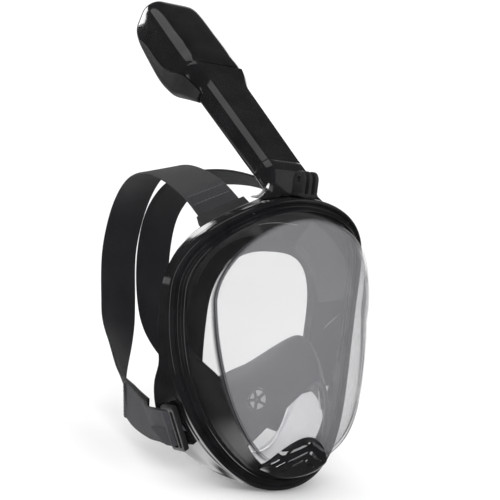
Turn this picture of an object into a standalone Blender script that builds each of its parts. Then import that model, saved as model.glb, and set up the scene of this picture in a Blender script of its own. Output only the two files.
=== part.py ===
"""Full-face snorkel mask: wrap-round lens in a ring frame, silicone skirt and nose divider, dry-top
snorkel on a three-channel socket, camera mount and a two-band head harness.

Frame: +Z up, the wearer looks along -Y, the wearer's left is +X. The origin is the middle of the
face opening. Lengths below are in millimetres and become metres where a mesh is made."""

import math

import bmesh
import bpy
from mathutils import Matrix, Vector

MM = 0.001

# The ring: an egg outline, wide at the eyes and narrow at the chin, swept back at the temples.
STEPS = 48
HALF_WIDTH = 96.5
WIDE_Z = 35.0
ABOVE = 85.7
BELOW = 155.9
JOWL = 0.13
RING_Y = -45.0
SWEEP = 40.5
CHIN_FORWARD = 10.0
SIDE_TILT = 0.65

# The sandwich behind the ring's front edge, as distances forward (+) and back (-) of it.
BEZEL_BACK = -8.0
LENS_FRONT, LENS_BACK = -2.6, -4.8
BEAD_FRONT, BEAD_BACK = -5.2, -8.0
FLANGE_FRONT, FLANGE_BACK = -8.4, -10.6
SCREW_INSET = 5.6
SCREW_ANGLES = (22, 60, 120, 158, 202, 244, 296, 338)

# The lens.
LENS_INSET = 11.0
LENS_WALL = 2.4
LENS_CENTRE_Z = 10.0
LENS_FRONT_Y = -96.0
CREASE = 0.89

# The face opening in the skirt, and the seal round it.
OPENING_HALF_WIDTH = 52.0
OPENING_TOP, OPENING_BOTTOM, OPENING_WIDE_Z = 72.0, -104.0, 11.0
SEAL_WIDTH = 15.0
SKIRT_WALL = 2.4

# Valves.
INHALE_RADIUS = 9.4
CHIN_VALVE_Z = -84.0
CHIN_HOLE_RADIUS = 12.5
COVER_HALF_WIDTH = 31.0
COVER_BULGE = 8.0

# The snorkel stands in its own frame: +Z up the tube, -Y its front, origin at the socket's mouth.
TUBE_FOOT = Vector((0.0, 2.8, 139.2))
TUBE_LEAN = math.radians(58.5)
FOOT_WIDTH, FOOT_DEPTH = 41.0, 22.0
TUBE_WIDTH, TUBE_DEPTH, TUBE_CHAMFER = 46.0, 24.0, 3.2
NECK_Z, CAP_Z = 118.0, 149.0
TUBE_TOP = 213.0
SPIGOT_WIDTH, SPIGOT_DEPTH, SPIGOT_LENGTH = 36.0, 17.0, 13.0
SOCKET_DEPTH = 14.0
GROOVE_BOTTOM, GROOVE_TOP = -8.6, -5.4
HEAD_WALL = 2.2
SPLIT_GAP = 0.35

# The camera mount: three 3 mm fingers and 3.2 mm slots, the standard action-camera joint.
FINGER, FINGER_PITCH = 3.0, 6.2
FINGER_RADIUS = 7.4
MOUNT_Y, MOUNT_FOOT_Z, MOUNT_PIN_Z = -37.0, 121.6, 135.2
PIN_RADIUS = 2.6

# The harness.
BAND_WIDTH, BAND_THICKNESS = 38.0, 2.2
LOOP_ANGLE = 225
TAB_WIDTH = 33.0


# ---------------------------------------------------------------- materials

def material(name, colour, roughness, metallic=0.0, alpha=1.0):
    made = bpy.data.materials.get(name)
    if made is None:
        made = bpy.data.materials.new(name)
        made.use_nodes = True
        shader = made.node_tree.nodes["Principled BSDF"]
        shader.inputs["Base Color"].default_value = (*colour, 1.0)
        shader.inputs["Roughness"].default_value = roughness
        shader.inputs["Metallic"].default_value = metallic
        shader.inputs["Alpha"].default_value = alpha
    return made


def gloss_black():
    return material("gloss_black_abs", (0.008, 0.008, 0.009), 0.12)


def satin_black():
    return material("satin_black_abs", (0.012, 0.012, 0.013), 0.38)


def clear_polycarbonate():
    return material("clear_polycarbonate", (0.85, 0.87, 0.9), 0.03, alpha=0.25)


def black_silicone():
    return material("black_silicone", (0.012, 0.012, 0.013), 0.5)


def clear_silicone():
    return material("clear_silicone", (0.8, 0.8, 0.8), 0.35, alpha=0.6)


def white_plastic():
    return material("white_polypropylene", (0.8, 0.8, 0.8), 0.4)


def foam():
    return material("grey_foam", (0.2, 0.2, 0.21), 0.85)


def steel():
    return material("stainless_steel", (0.6, 0.6, 0.62), 0.25, metallic=1.0)


def elastic():
    return material("black_elastic", (0.02, 0.02, 0.025), 0.85)


# ---------------------------------------------------------------- mesh tools

def add_mesh(name, points, faces, made_of, parent=None, smooth_angle=35):
    """One object from points in millimetres. Faces are turned to point out."""
    mesh = bpy.data.meshes.new(name)
    mesh.from_pydata([Vector(p) * MM for p in points], [], faces)
    work = bmesh.new()
    work.from_mesh(mesh)
    bmesh.ops.recalc_face_normals(work, faces=work.faces)
    work.to_mesh(mesh)
    work.free()
    if made_of is not None:
        mesh.materials.append(made_of)
    mesh.shade_smooth()
    mesh.set_sharp_from_angle(angle=math.radians(smooth_angle))
    obj = bpy.data.objects.new(name, mesh)
    bpy.context.scene.collection.objects.link(obj)
    obj.parent = parent
    return obj


def loft(rings, closed=False):
    """Points and faces that join equal rings one after another. Open lofts get flat ends."""
    count = len(rings[0])
    points = [p for ring in rings for p in ring]
    faces = []
    pairs = len(rings) if closed else len(rings) - 1
    for i in range(pairs):
        low, high = i * count, (i + 1) % len(rings) * count
        for j in range(count):
            k = (j + 1) % count
            faces.append((low + j, low + k, high + k, high + j))
    if not closed:
        faces.append(tuple(reversed(range(count))))
        faces.append(tuple(range(len(points) - count, len(points))))
    return points, faces


def sheet(rows, missing=()):
    """Points and faces of an open grid, less the cells named as (row, column)."""
    wide = len(rows[0])
    points = [p for row in rows for p in row]
    faces = []
    for i in range(len(rows) - 1):
        for j in range(wide - 1):
            if (i, j) not in missing:
                a = i * wide + j
                faces.append((a, a + 1, a + wide + 1, a + wide))
    return points, faces


def thicken(obj, thickness, offset=0.0):
    """Solidify, in millimetres, centred on the sheet unless an offset is given."""
    modifier = obj.modifiers.new("thickness", "SOLIDIFY")
    modifier.thickness = thickness * MM
    modifier.offset = offset
    modifier.use_even_offset = False
    return obj


def box(name, low, high, made_of=None, parent=None, bevel=0.0):
    (x0, y0, z0), (x1, y1, z1) = low, high
    rings = [[(x0, y0, z), (x1, y0, z), (x1, y1, z), (x0, y1, z)] for z in (z0, z1)]
    obj = add_mesh(name, *loft(rings), made_of, parent, 30)
    if bevel:
        modifier = obj.modifiers.new("edges", "BEVEL")
        modifier.width = bevel * MM
        modifier.segments = 2
    return obj


def turned(name, profile, centre, axis, made_of=None, parent=None, sides=24):
    """A solid turned about an axis. The profile is a closed loop of (radius, height) pairs, or
    starts and ends on the axis."""
    turn = Vector(axis).to_track_quat("Z", "Y").to_matrix()
    centre = Vector(centre)
    on_axis = profile[0][0] == 0 and profile[-1][0] == 0
    body = profile[1:-1] if on_axis else profile
    rings = [[centre + turn @ Vector((r * math.cos(2 * math.pi * i / sides),
                                      r * math.sin(2 * math.pi * i / sides), h))
              for i in range(sides)] for r, h in body]
    points, faces = loft(rings, closed=not on_axis)
    return add_mesh(name, points, faces, made_of, parent, 30)


def rod(name, centre, axis, radius, start, end, made_of=None, parent=None, sides=20):
    profile = [(0, start), (radius, start), (radius, end), (0, end)]
    return turned(name, profile, centre, axis, made_of, parent, sides)


def cut(obj, cutter, operation="DIFFERENCE"):
    modifier = obj.modifiers.new(cutter.name, "BOOLEAN")
    modifier.operation = operation
    modifier.solver = "EXACT"
    modifier.object = cutter
    cutter.hide_render = True
    cutter.display_type = "WIRE"


def rounded_rectangle(half_x, half_y, radius, corner_steps=3, long_steps=0):
    """Corner arcs of a rectangle centred on the origin, anticlockwise. long_steps adds points
    along the two sides that run in x."""
    points = []
    for quarter, (sx, sy) in enumerate(((1, 1), (-1, 1), (-1, -1), (1, -1))):
        for i in range(corner_steps + 1):
            a = math.radians(90 * quarter + 90 * i / corner_steps)
            points.append((sx * (half_x - radius) + radius * math.cos(a),
                           sy * (half_y - radius) + radius * math.sin(a)))
        if quarter in (0, 2):
            straight = half_x - radius
            points += [(sx * (straight - 2 * straight * k / (long_steps + 1)), sy * half_y)
                       for k in range(1, long_steps + 1)]
    return points


def curve_point(points, place):
    """A point on the smooth (Catmull-Rom) curve through the points. place runs from 0 to 1."""
    spans = len(points) - 1
    span = min(int(place * spans), spans - 1)
    t = place * spans - span
    a, b, c, d = (Vector(points[min(max(span + k, 0), spans)]) for k in (-1, 0, 1, 2))
    return 0.5 * (2 * b + (c - a) * t + (2 * a - 5 * b + 4 * c - d) * t ** 2
                  + (3 * b - a - 3 * c + d) * t ** 3)


# ---------------------------------------------------------------- the ring and the lens

def ring_angles():
    return [2 * math.pi * i / STEPS for i in range(STEPS)]


def outline(t):
    """(x, y, z) of the ring's outer front edge and its outward normal (nx, nz)."""
    low = max(-math.sin(t), 0.0)
    swell = 1 + JOWL * low ** 2
    reach = ABOVE if math.sin(t) > 0 else BELOW
    x = HALF_WIDTH * math.cos(t) * swell
    z = WIDE_Z + reach * math.sin(t)
    y = RING_Y + SWEEP * abs(x / HALF_WIDTH) ** 3 - CHIN_FORWARD * low ** 2
    dx = HALF_WIDTH * (-math.sin(t) * swell - 2 * JOWL * low * math.cos(t) ** 2)
    dz = reach * math.cos(t)
    size = math.hypot(dx, dz)
    return (x, y, z), (dz / size, -dx / size)


def ring_point(t, inset, forward):
    """A point inset from the outer edge and forward of it. The section tilts at the temples."""
    (x, y, z), (nx, nz) = outline(t)
    return Vector((x - inset * nx, y - forward - SIDE_TILT * nx ** 2 * inset, z - inset * nz))


def ring_normal(t):
    """The direction straight back through the ring's flanges."""
    along = ring_point(t + 0.02, SCREW_INSET, 0) - ring_point(t - 0.02, SCREW_INSET, 0)
    across = ring_point(t, SCREW_INSET + 1, 0) - ring_point(t, SCREW_INSET - 1, 0)
    normal = along.cross(across).normalized()
    return normal if normal.y > 0 else -normal


def ring_sweep(name, section, made_of):
    """A section of (inset, forward) pairs, which may depend on the angle, carried round the ring."""
    rings = []
    for t in ring_angles():
        pairs = section(t) if callable(section) else section
        rings.append([ring_point(t, inset, forward) for inset, forward in pairs])
    return add_mesh(name, *loft(rings, closed=True), made_of)


def lens_point(reach, t, wall=0.0):
    """The lens's outer surface (wall 0) or inner one. reach is 1 at the rim and 0 at the middle."""
    rim = ring_point(t, LENS_INSET + 0.9 * wall, 4.0 - 0.7 * wall)
    nx, low = outline(t)[1][0], max(-math.sin(t), 0.0)
    crease_y = rim.y - 8 - 17 * nx ** 2 - 34 * low * (1 - low)
    front_y = LENS_FRONT_Y + wall
    if reach > CREASE:
        y = crease_y + (rim.y - crease_y) * (reach - CREASE) / (1 - CREASE)
    else:
        y = front_y + (crease_y - front_y) * (reach / CREASE) ** 2.6
    return Vector((reach * rim.x, y, LENS_CENTRE_Z + reach * (rim.z - LENS_CENTRE_Z)))


def lens_depth(x, z, wall=0.0):
    """y of the lens surface straight in front of (x, z)."""
    aim = math.atan2(z - LENS_CENTRE_Z, x)
    low, high = (-math.pi / 2, math.pi / 2) if x >= 0 else (math.pi / 2, 1.5 * math.pi)
    if x < 0 and aim < 0:
        aim += 2 * math.pi
    for _ in range(30):
        middle = (low + high) / 2
        rim = lens_point(1.0, middle, wall)
        angle = math.atan2(rim.z - LENS_CENTRE_Z, rim.x)
        if x < 0 and angle < 0:
            angle += 2 * math.pi
        if angle < aim:
            low = middle
        else:
            high = middle
    rim = lens_point(1.0, low, wall)
    size = math.hypot(rim.x, rim.z - LENS_CENTRE_Z)
    return lens_point(math.hypot(x, z - LENS_CENTRE_Z) / size, low, wall).y


def make_lens(screw_cutter, chin_cutter):
    angles = ring_angles()
    reaches = (1.0, CREASE, 0.72, 0.52, 0.3, 0.12)
    rings = [[ring_point(t, u, v) for t in angles]
             for u, v in ((3.0, LENS_BACK), (3.0, LENS_FRONT), (8.7, LENS_FRONT))]
    rings += [[lens_point(r, t) for t in angles] for r in reaches]
    middle = len(rings)
    rings += [[lens_point(r, t, LENS_WALL) for t in angles] for r in reversed(reaches)]
    rings.append([ring_point(t, 10.2, LENS_BACK) for t in angles])
    points, faces = [p for ring in rings for p in ring], []
    for i in range(len(rings)):
        if i == middle - 1:
            continue
        low, high = i * STEPS, (i + 1) % len(rings) * STEPS
        faces += [(low + j, low + (j + 1) % STEPS, high + (j + 1) % STEPS, high + j)
                  for j in range(STEPS)]
    for ring, pole in ((middle - 1, lens_point(0, 0)), (middle, lens_point(0, 0, LENS_WALL))):
        points.append(pole)
        faces += [(ring * STEPS + j, ring * STEPS + (j + 1) % STEPS, len(points) - 1)
                  for j in range(STEPS)]
    lens = add_mesh("lens", points, faces, clear_polycarbonate(), smooth_angle=25)
    cut(lens, screw_cutter)
    cut(lens, chin_cutter)


def make_bezel(screw_cutter):
    section = [(0, BEZEL_BACK), (0, -1.4), (0.9, 0.6), (2.6, 1.3), (4.3, 0.9), (5.4, 0.3),
               (6.4, 1.0), (7.6, 2.6), (9.6, 5.0), (10.4, 4.8), (10.4, 2.4), (8.4, -2.2),
               (2.2, -2.2), (2.2, BEZEL_BACK)]
    cut(ring_sweep("front_bezel", section, gloss_black()), screw_cutter)


def frame_reach(t):
    """How far the rear frame's wall runs back, and how far its rear edge flares out."""
    from_chin = abs((math.degrees(t) - 270 + 180) % 360 - 180)
    jaw = math.exp(-((from_chin - 42) / 24) ** 2)
    crown = math.exp(-((from_chin - 180) / 24) ** 2)
    temple = math.exp(-((from_chin - 125) / 18) ** 2)
    scallop = math.exp(-((from_chin - 67) / 5) ** 2)
    return 6 + 27.5 * jaw + 6 * temple + 22.5 * crown - 6 * scallop, 9 * jaw


def frame_section(t):
    depth, flare = frame_reach(t)
    end = FLANGE_FRONT - depth
    return [(0.4, FLANGE_FRONT), (9.0, FLANGE_FRONT), (9.0, FLANGE_BACK), (3.2, FLANGE_BACK),
            (3.0 - 0.4 * flare, FLANGE_FRONT - 0.6 * depth), (2.8 - flare, end),
            (0.6 - flare, end), (0.4 - 0.4 * flare, FLANGE_FRONT - 0.6 * depth)]


def make_rear_frame(screw_cutter):
    cut(ring_sweep("rear_frame", frame_section, gloss_black()), screw_cutter)


def make_frame_screws():
    """Eight pan-head screws through the sandwich, and one cutter that holds all their holes."""
    holes = bmesh.new()
    for number, degrees in enumerate(SCREW_ANGLES, 1):
        t = math.radians(degrees)
        axis = ring_normal(t)
        seat = ring_point(t, SCREW_INSET, FLANGE_BACK) + axis * 0.35
        length = (ring_point(t, SCREW_INSET, -0.9) - seat).length * abs(axis.y)
        profile = [(0, -length), (1.0, -length), (1.0, 0), (2.3, 0), (2.3, 0.9), (1.6, 1.5), (0, 1.5)]
        turned(f"frame_screw_{number}", profile, seat, axis, steel(), sides=12)
        hole = rod("hole", seat, axis, 1.4, -length - 0.4, 1.0, sides=10)
        holes.from_mesh(hole.data)
        bpy.data.objects.remove(hole)
    mesh = bpy.data.meshes.new("screw_holes")
    holes.to_mesh(mesh)
    holes.free()
    cutter = bpy.data.objects.new("screw_holes", mesh)
    bpy.context.scene.collection.objects.link(cutter)
    return cutter


# ---------------------------------------------------------------- soft parts of the mask

def opening_point(t):
    """The rim of the face opening. It is squarish at the brow and wide at the mouth."""
    c, s = math.cos(t), math.sin(t)
    low = max(-s, 0.0)
    square, rise = (0.75, 0.8) if s > 0 else (0.75 - 0.35 * low, 0.8 + 0.1 * low)
    x = OPENING_HALF_WIDTH * math.copysign(abs(c) ** square, c) * (1 - 0.06 * low ** 2)
    reach = OPENING_TOP - OPENING_WIDE_Z if s > 0 else OPENING_WIDE_Z - OPENING_BOTTOM
    z = OPENING_WIDE_Z + reach * math.copysign(abs(s) ** rise, s)
    y = -3 + 10 * (x / OPENING_HALF_WIDTH) ** 2 + 6 * low ** 2
    return Vector((x, y, z))


def web_edge(t):
    """Inset and height of the web's inner edge. The web runs in behind the lens beside the mouth."""
    below = min(abs(math.degrees(t) - 180), abs(360 - math.degrees(t))) if math.sin(t) < 0 else 0
    rise = min(max((below - 12) / 26, 0), 1)
    rise = rise * rise * (3 - 2 * rise) * (1 - 0.95 * max(below - 25, 0) / 65)
    return 12.8 + 29 * rise, BEAD_FRONT - 1.0 + 5 * rise


def make_face_skirt(screw_cutter):
    rings = []
    for t in ring_angles():
        rim = opening_point(t)
        (nx, nz) = outline(t)[1]
        out = Vector((nx, 0, nz))
        back = Vector((0, 1, 0))
        low = max(-math.sin(t), 0.0)
        heel = rim + out * (SEAL_WIDTH - 8 * low ** 3) + back * (8 + 4 * low ** 3)
        web, web_forward = web_edge(t)
        rings.append([
            ring_point(t, 3.4, BEAD_FRONT), ring_point(t, 11.8, BEAD_FRONT),
            ring_point(t, web, web_forward), ring_point(t, web, web_forward - 1.8),
            ring_point(t, 12.4, FLANGE_BACK - 0.4), heel - out * SKIRT_WALL - back * 2.6,
            rim - back * 0.6,
            rim - out * 0.8 + back * 0.6, heel - out * 4 + back * 0.4, heel,
            ring_point(t, 9.4, FLANGE_BACK - 0.8),
            ring_point(t, 9.4, BEAD_BACK),
            ring_point(t, 3.4, BEAD_BACK)])
    cut(add_mesh("face_skirt", *loft(rings, closed=True), black_silicone()), screw_cutter)


def divider_point(across, ahead):
    """The nose divider's surface: across runs -1..1 over the nose, ahead 0..1 from face to lens."""
    ridge = [(0, -7, -22), (0, -31, -3), (0, -55, 9), (0, -73, 1), (0, -88, -20)]
    side = [(44, 2, -43), (42.5, -28, -44), (41.5, -44, -56), (38.5, -50, -70), (34.5, -53, -83)]
    top, foot = curve_point(ridge, ahead), curve_point(side, ahead)
    wide = abs(across)
    x = across * foot.x
    z = top.z + (foot.z - top.z) * wide ** 1.5
    y = top.y + (foot.y - top.y) * wide ** 1.8
    return Vector((x, max(y, lens_depth(x, z, LENS_WALL) + 1.4), z))


def make_nose_divider(valve_cutters):
    wide, long = 20, 10
    rows = [[divider_point(-1 + 2 * j / wide, i / long) for j in range(wide + 1)]
            for i in range(long + 1)]
    divider = add_mesh("nose_divider", *sheet(rows), black_silicone(), smooth_angle=60)
    thicken(divider, 1.6)
    for cutter in valve_cutters:
        cut(divider, cutter)


def inhale_valve_frame(side):
    """Centre and outward normal of an inhale valve, on the divider's flank."""
    across, ahead = side * 0.79, 0.66
    centre = divider_point(across, ahead)
    one = divider_point(across + 0.05, ahead) - divider_point(across - 0.05, ahead)
    two = divider_point(across, ahead + 0.05) - divider_point(across, ahead - 0.05)
    normal = one.cross(two).normalized()
    return centre, normal if normal.z > 0 else -normal


def spoked_seat(name, centre, axis, radius, rim, hub, spokes, thickness, made_of, parent=None):
    """A flat ring with spokes and a hub, as one plate."""
    turn = Vector(axis).to_track_quat("Z", "Y").to_matrix()
    radii = [hub, radius - rim, radius]
    part = 4
    count = spokes * part
    points = [Vector(centre)]
    for r in radii:
        points += [Vector(centre) + turn @ Vector((r * math.cos(a), r * math.sin(a), 0))
                   for a in (2 * math.pi * (i + (0.35 if i % part == 0 else -0.35 if i % part == 1 else 0))
                             / count for i in range(count))]
    faces = []
    for i in range(count):
        k = (i + 1) % count
        faces.append((0, 1 + i, 1 + k))
        if i % part == 0:
            faces.append((1 + i, 1 + count + i, 1 + count + k, 1 + k))
        faces.append((1 + count + i, 1 + 2 * count + i, 1 + 2 * count + k, 1 + count + k))
    seat = add_mesh(name, points, faces, made_of, parent)
    return thicken(seat, thickness)


def make_inhale_valves():
    cutters = []
    for side, word in ((-1, "right"), (1, "left")):
        centre, normal = inhale_valve_frame(side)
        cutters.append(rod(f"inhale_hole_{word}", centre, normal, INHALE_RADIUS + 0.35, -6, 6))
        spoked_seat(f"inhale_valve_seat_{word}", centre, normal, INHALE_RADIUS, 1.7, 1.8, 5, 1.8,
                    satin_black())
        disc = rod(f"inhale_valve_disc_{word}", (0, 0, 0), normal, INHALE_RADIUS - 1.0, -0.3, 0.3,
                   clear_silicone())
        disc.location = (centre - normal * 1.6) * MM
    return cutters


# ---------------------------------------------------------------- chin valve

def chin_valve_frame():
    """Centre of the chin hole on the lens's outer surface, and the lens normal there."""
    y = lens_depth(0, CHIN_VALVE_Z)
    slope = (lens_depth(0, CHIN_VALVE_Z + 6) - lens_depth(0, CHIN_VALVE_Z - 6)) / 12
    return Vector((0, y, CHIN_VALVE_Z)), Vector((0, -1, slope)).normalized()


def make_chin_valve():
    centre, normal = chin_valve_frame()
    spoked_seat("chin_valve_seat", centre + normal * 0.2, normal, CHIN_HOLE_RADIUS - 0.4, 2.0, 2.2,
                6, 2.0, satin_black())
    disc = rod("chin_valve_disc", (0, 0, 0), normal, CHIN_HOLE_RADIUS - 1.0, -0.3, 0.3,
               clear_silicone())
    disc.location = (centre + normal * 1.9) * MM
    return rod("chin_hole", centre, normal, CHIN_HOLE_RADIUS, -8, 8)


def cover_point(across, up):
    """The half-moon cover: across and up run -1..1 and 0..1 over it."""
    x = COVER_HALF_WIDTH * across
    top = -68 - 27 * across ** 2
    bottom = -107 + 10 * across ** 2
    z = bottom + (top - bottom) * up
    edge = (1 - across ** 4) * (1 - (2 * up - 1) ** 4)
    return Vector((x, lens_depth(x, z) - 1.9 - COVER_BULGE * math.sqrt(max(edge, 0)), z))


def make_chin_cover():
    columns, rows = 20, 13
    grid = [[cover_point((-1 + 2 * j / columns) * 0.97, i / rows) for j in range(columns + 1)]
            for i in range(rows + 1)]
    slots = {(i, j) for i, reach in ((10, 3), (8, 3), (6, 2), (4, 1)) for j in range(columns)
             if abs(j + 0.5 - columns / 2) < reach + 0.1}
    slots |= {(i, j) for i in (8, 6, 4) for j in range(columns)
              if 4.4 < abs(j + 0.5 - columns / 2) < (8.0 if i > 4 else 6.6)}
    cover = add_mesh("chin_valve_cover", *sheet(grid, slots), gloss_black(), smooth_angle=40)
    thicken(cover, 1.4)


# ---------------------------------------------------------------- snorkel

def section_ring(half_x, half_y, radius, z, shift_y=0.0, long_steps=0):
    return [(x, y + shift_y, z)
            for x, y in rounded_rectangle(half_x, half_y, radius, long_steps=long_steps)]


def make_socket(snorkel):
    """A flared three-channel socket that stands on the frame's top and takes the tube's spigot."""
    to_world = snorkel.matrix_world
    def lofted(half_x, half_y, radius, grow):
        mouth, throat = ([to_world @ (Vector(p) * MM) / MM
                          for p in section_ring(half_x, half_y, radius, z, long_steps=5)]
                         for z in (0, -SOCKET_DEPTH))
        rings = [mouth, throat]
        foot = []
        for x, y in rounded_rectangle(34 + grow, 11.5 + grow, 5, long_steps=5):
            above = math.sqrt(1 - (x / (HALF_WIDTH + 1)) ** 2)
            foot.append(Vector((x, y - 17.5, WIDE_Z + (ABOVE + 0.3) * above)))
        for k in range(1, 6):
            way = k / 5
            rings.append([Vector((a.x + (b.x - a.x) * way ** 2.2, a.y + (b.y - a.y) * way,
                                  a.z + (b.z - a.z) * way)) for a, b in zip(throat, foot)])
        return rings
    outer = lofted(FOOT_WIDTH / 2, FOOT_DEPTH / 2, TUBE_CHAMFER, 0)
    inner = lofted(SPIGOT_WIDTH / 2 + 0.45, SPIGOT_DEPTH / 2 + 0.45, 2.4, -2.6)
    points, faces = loft(outer + inner[::-1], closed=True)
    socket = add_mesh("snorkel_socket", points, faces, gloss_black())
    back = FOOT_DEPTH / 2
    cut(socket, box("button_collar", (-8.6, back - 1.2, -14.4), (8.6, back + 4.4, -0.8), None,
                    snorkel), "UNION")
    cut(socket, box("button_pocket", (-6.9, back + 0.05, -13.4), (6.9, back + 7, -2.1), None,
                    snorkel))


def channel_cutters(snorkel):
    cutters = []
    for name, x0, x1 in (("intake_channel", -7.4, 7.4), ("left_channel", 9, 15.4),
                         ("right_channel", -15.4, -9)):
        cutters.append(box(name, (x0, -5.8, -30), (x1, 5.8, 230), parent=snorkel))
    return cutters


def make_tube(snorkel):
    rings = [section_ring(SPIGOT_WIDTH / 2, SPIGOT_DEPTH / 2, 2.0, -SPIGOT_LENGTH),
             section_ring(SPIGOT_WIDTH / 2, SPIGOT_DEPTH / 2, 2.0, GROOVE_BOTTOM),
             section_ring(SPIGOT_WIDTH / 2 - 1.2, SPIGOT_DEPTH / 2 - 1.2, 1.4, GROOVE_BOTTOM),
             section_ring(SPIGOT_WIDTH / 2 - 1.2, SPIGOT_DEPTH / 2 - 1.2, 1.4, GROOVE_TOP),
             section_ring(SPIGOT_WIDTH / 2, SPIGOT_DEPTH / 2, 2.0, GROOVE_TOP),
             section_ring(SPIGOT_WIDTH / 2, SPIGOT_DEPTH / 2, 2.0, 0.4),
             section_ring(FOOT_WIDTH / 2, FOOT_DEPTH / 2, TUBE_CHAMFER, 0.4),
             section_ring(TUBE_WIDTH / 2, TUBE_DEPTH / 2, TUBE_CHAMFER, NECK_Z),
             section_ring(TUBE_WIDTH / 2, TUBE_DEPTH / 2, TUBE_CHAMFER, TUBE_TOP)]
    tube = add_mesh("snorkel_tube", *loft(rings), gloss_black(), snorkel)
    neck = [section_ring(TUBE_WIDTH / 2 - 0.1, 6.7, TUBE_CHAMFER, NECK_Z - 3, -5.1),
            section_ring(TUBE_WIDTH / 2 + 1.4, 7.1, TUBE_CHAMFER, NECK_Z + 8, -5.6),
            section_ring(30.5, 8.4, 5, CAP_Z - 0.5, -6.9)]
    cut(tube, add_mesh("neck_flare", *loft(neck), None, snorkel), "UNION")
    for cutter in channel_cutters(snorkel):
        cut(tube, cutter)
    inner = (SPIGOT_WIDTH / 2 - 0.85, SPIGOT_DEPTH / 2 - 0.85, 1.6)
    outer = (SPIGOT_WIDTH / 2 + 0.1, SPIGOT_DEPTH / 2 + 0.1, 2.0)
    low, high = GROOVE_BOTTOM + 0.4, GROOVE_TOP - 0.4
    gasket = [section_ring(*outer, low), section_ring(*outer, high),
              section_ring(*inner, high), section_ring(*inner, low)]
    add_mesh("tube_gasket", *loft(gasket, closed=True), black_silicone(), snorkel)


def head_rings(shrink):
    """The head's outer form, or a smaller copy of it for the hollow, as rounded rectangles."""
    stations = ((122, 12.6, 13, 24.4, 4), (138, 13.8, 20.5, 27, 6), (154, 16, 28, 31, 8),
                (168, 17, 31.5, 32, 10), (186, 17.5, 33, 32.5, 10), (240, 17.5, 29, 32.5, 10),
                (258, 16.3, 25, 31, 10), (268, 12, 20, 27.5, 9), (272, 5, 13, 20, 7))
    rings = []
    for z, front, rear, half_x, radius in stations:
        z = z + shrink if z < 130 else z - shrink if z > 250 else z
        half_y = (front + rear) / 2 - shrink
        rings.append(section_ring(half_x - shrink, half_y, max(radius - shrink, 1.0), z,
                                  (rear - front) / 2))
    return rings


def split_prism(name, gap, snorkel):
    """The block that holds the cap's share of the head: its front above the collar, and its top."""
    side = [(2, CAP_Z + gap), (6 - gap, 160), (14 - gap, 176), (17 - gap, 240),
            (45, 254 + gap), (45, 300), (-40, 300)]
    side += [(-40, 90), (2 - gap, 90)] if gap < 0 else [(-40, CAP_Z + gap)]
    rings = [[(x, y, z) for y, z in side] for x in (-50, 50)]
    return add_mesh(name, *loft(rings), None, snorkel)


def make_head(snorkel):
    tube_hole = add_mesh("tube_hole", *loft([
        section_ring(TUBE_WIDTH / 2 + 0.35, TUBE_DEPTH / 2 + 0.35, TUBE_CHAMFER, z)
        for z in (100, TUBE_TOP + 2)]), None, snorkel)
    hollow = add_mesh("head_hollow", *loft(head_rings(HEAD_WALL)), None, snorkel)
    cap = add_mesh("head_cap", *loft(head_rings(0)), gloss_black(), snorkel)
    shell = add_mesh("head_shell", *loft(head_rings(0)), satin_black(), snorkel)
    cap_block = split_prism("cap_block", SPLIT_GAP / 2, snorkel)
    shell_block = split_prism("shell_block", -SPLIT_GAP / 2, snorkel)
    for obj in (cap, shell):
        cut(obj, hollow)
        cut(obj, tube_hole)
    cut(cap, cap_block, "INTERSECT")
    cut(shell, shell_block)
    for number in range(5):
        x = -18 + 9 * number
        cut(shell, box(f"intake_slot_{number}", (x - 2, 16, 126), (x + 2, 30, 158), parent=snorkel))


def make_dry_top(snorkel):
    """The float cage behind the tube's head, its float and seal, and the two exhale flaps."""
    cage = box("float_cage", (-23, 12.8, 180), (23, 26.4, 212), white_plastic(), snorkel)
    for name, low, high in (("cage_inside", (-21.6, 14.2, 182), (21.6, 25.0, 210)),
                            ("cage_port", (-12, 16.0, 205), (12, 23.2, 216)),
                            ("cage_floor", (-16, 16.0, 176), (16, 23.2, 184)),
                            ("cage_back", (-17, 23, 186), (17, 32, 200))):
        cut(cage, box(name, low, high, parent=snorkel))
    box("dry_float", (-20.8, 15.0, 183), (20.8, 24.2, 198), foam(), snorkel, bevel=1.5)
    box("float_seal", (-18, 15.4, 198.35), (18, 23.8, 200), black_silicone(), snorkel)
    for side, word in ((-1, "right"), (1, "left")):
        hinge = bpy.data.objects.new(f"flap_hinge_{word}", None)
        bpy.context.scene.collection.objects.link(hinge)
        hinge.parent = snorkel
        hinge.location = (side * 16.8 * MM, 0, (TUBE_TOP + 0.9) * MM)
        reach = -side * 8.8
        box(f"exhale_flap_{word}", (min(reach, 0), -6.8, -0.5), (max(reach, 0), 6.8, 0.5),
            black_silicone(), hinge)


def make_release_button(snorkel):
    """A push button in the back of the socket that frees the tube's spigot."""
    back = FOOT_DEPTH / 2
    box("release_button", (-6.5, back + 3.0, -13), (6.5, back + 5.6, -2.5), satin_black(), snorkel,
        bevel=0.8)
    box("button_spring", (-3, back + 0.35, -11), (3, back + 0.8, -4.5), steel(), snorkel)


# ---------------------------------------------------------------- camera mount

def finger_rings(x0, x1):
    """A finger's two faces, each as its outline and its pin hole with matching points."""
    sides = 28
    rings = []
    for x, radii in ((x0, "out"), (x1, "out"), (x1, "in"), (x0, "in")):
        ring = []
        for i in range(sides):
            a = 2 * math.pi * i / sides
            c, s = math.cos(a), math.sin(a)
            r = PIN_RADIUS
            if radii == "out":
                foot = MOUNT_PIN_Z - MOUNT_FOOT_Z - 1.0
                r = FINGER_RADIUS if s >= 0 else min(FINGER_RADIUS / max(abs(c), 1e-6),
                                                     foot / max(-s, 1e-6))
            ring.append((x, MOUNT_Y + r * c, MOUNT_PIN_Z + r * s))
        rings.append(ring)
    return rings


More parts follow.
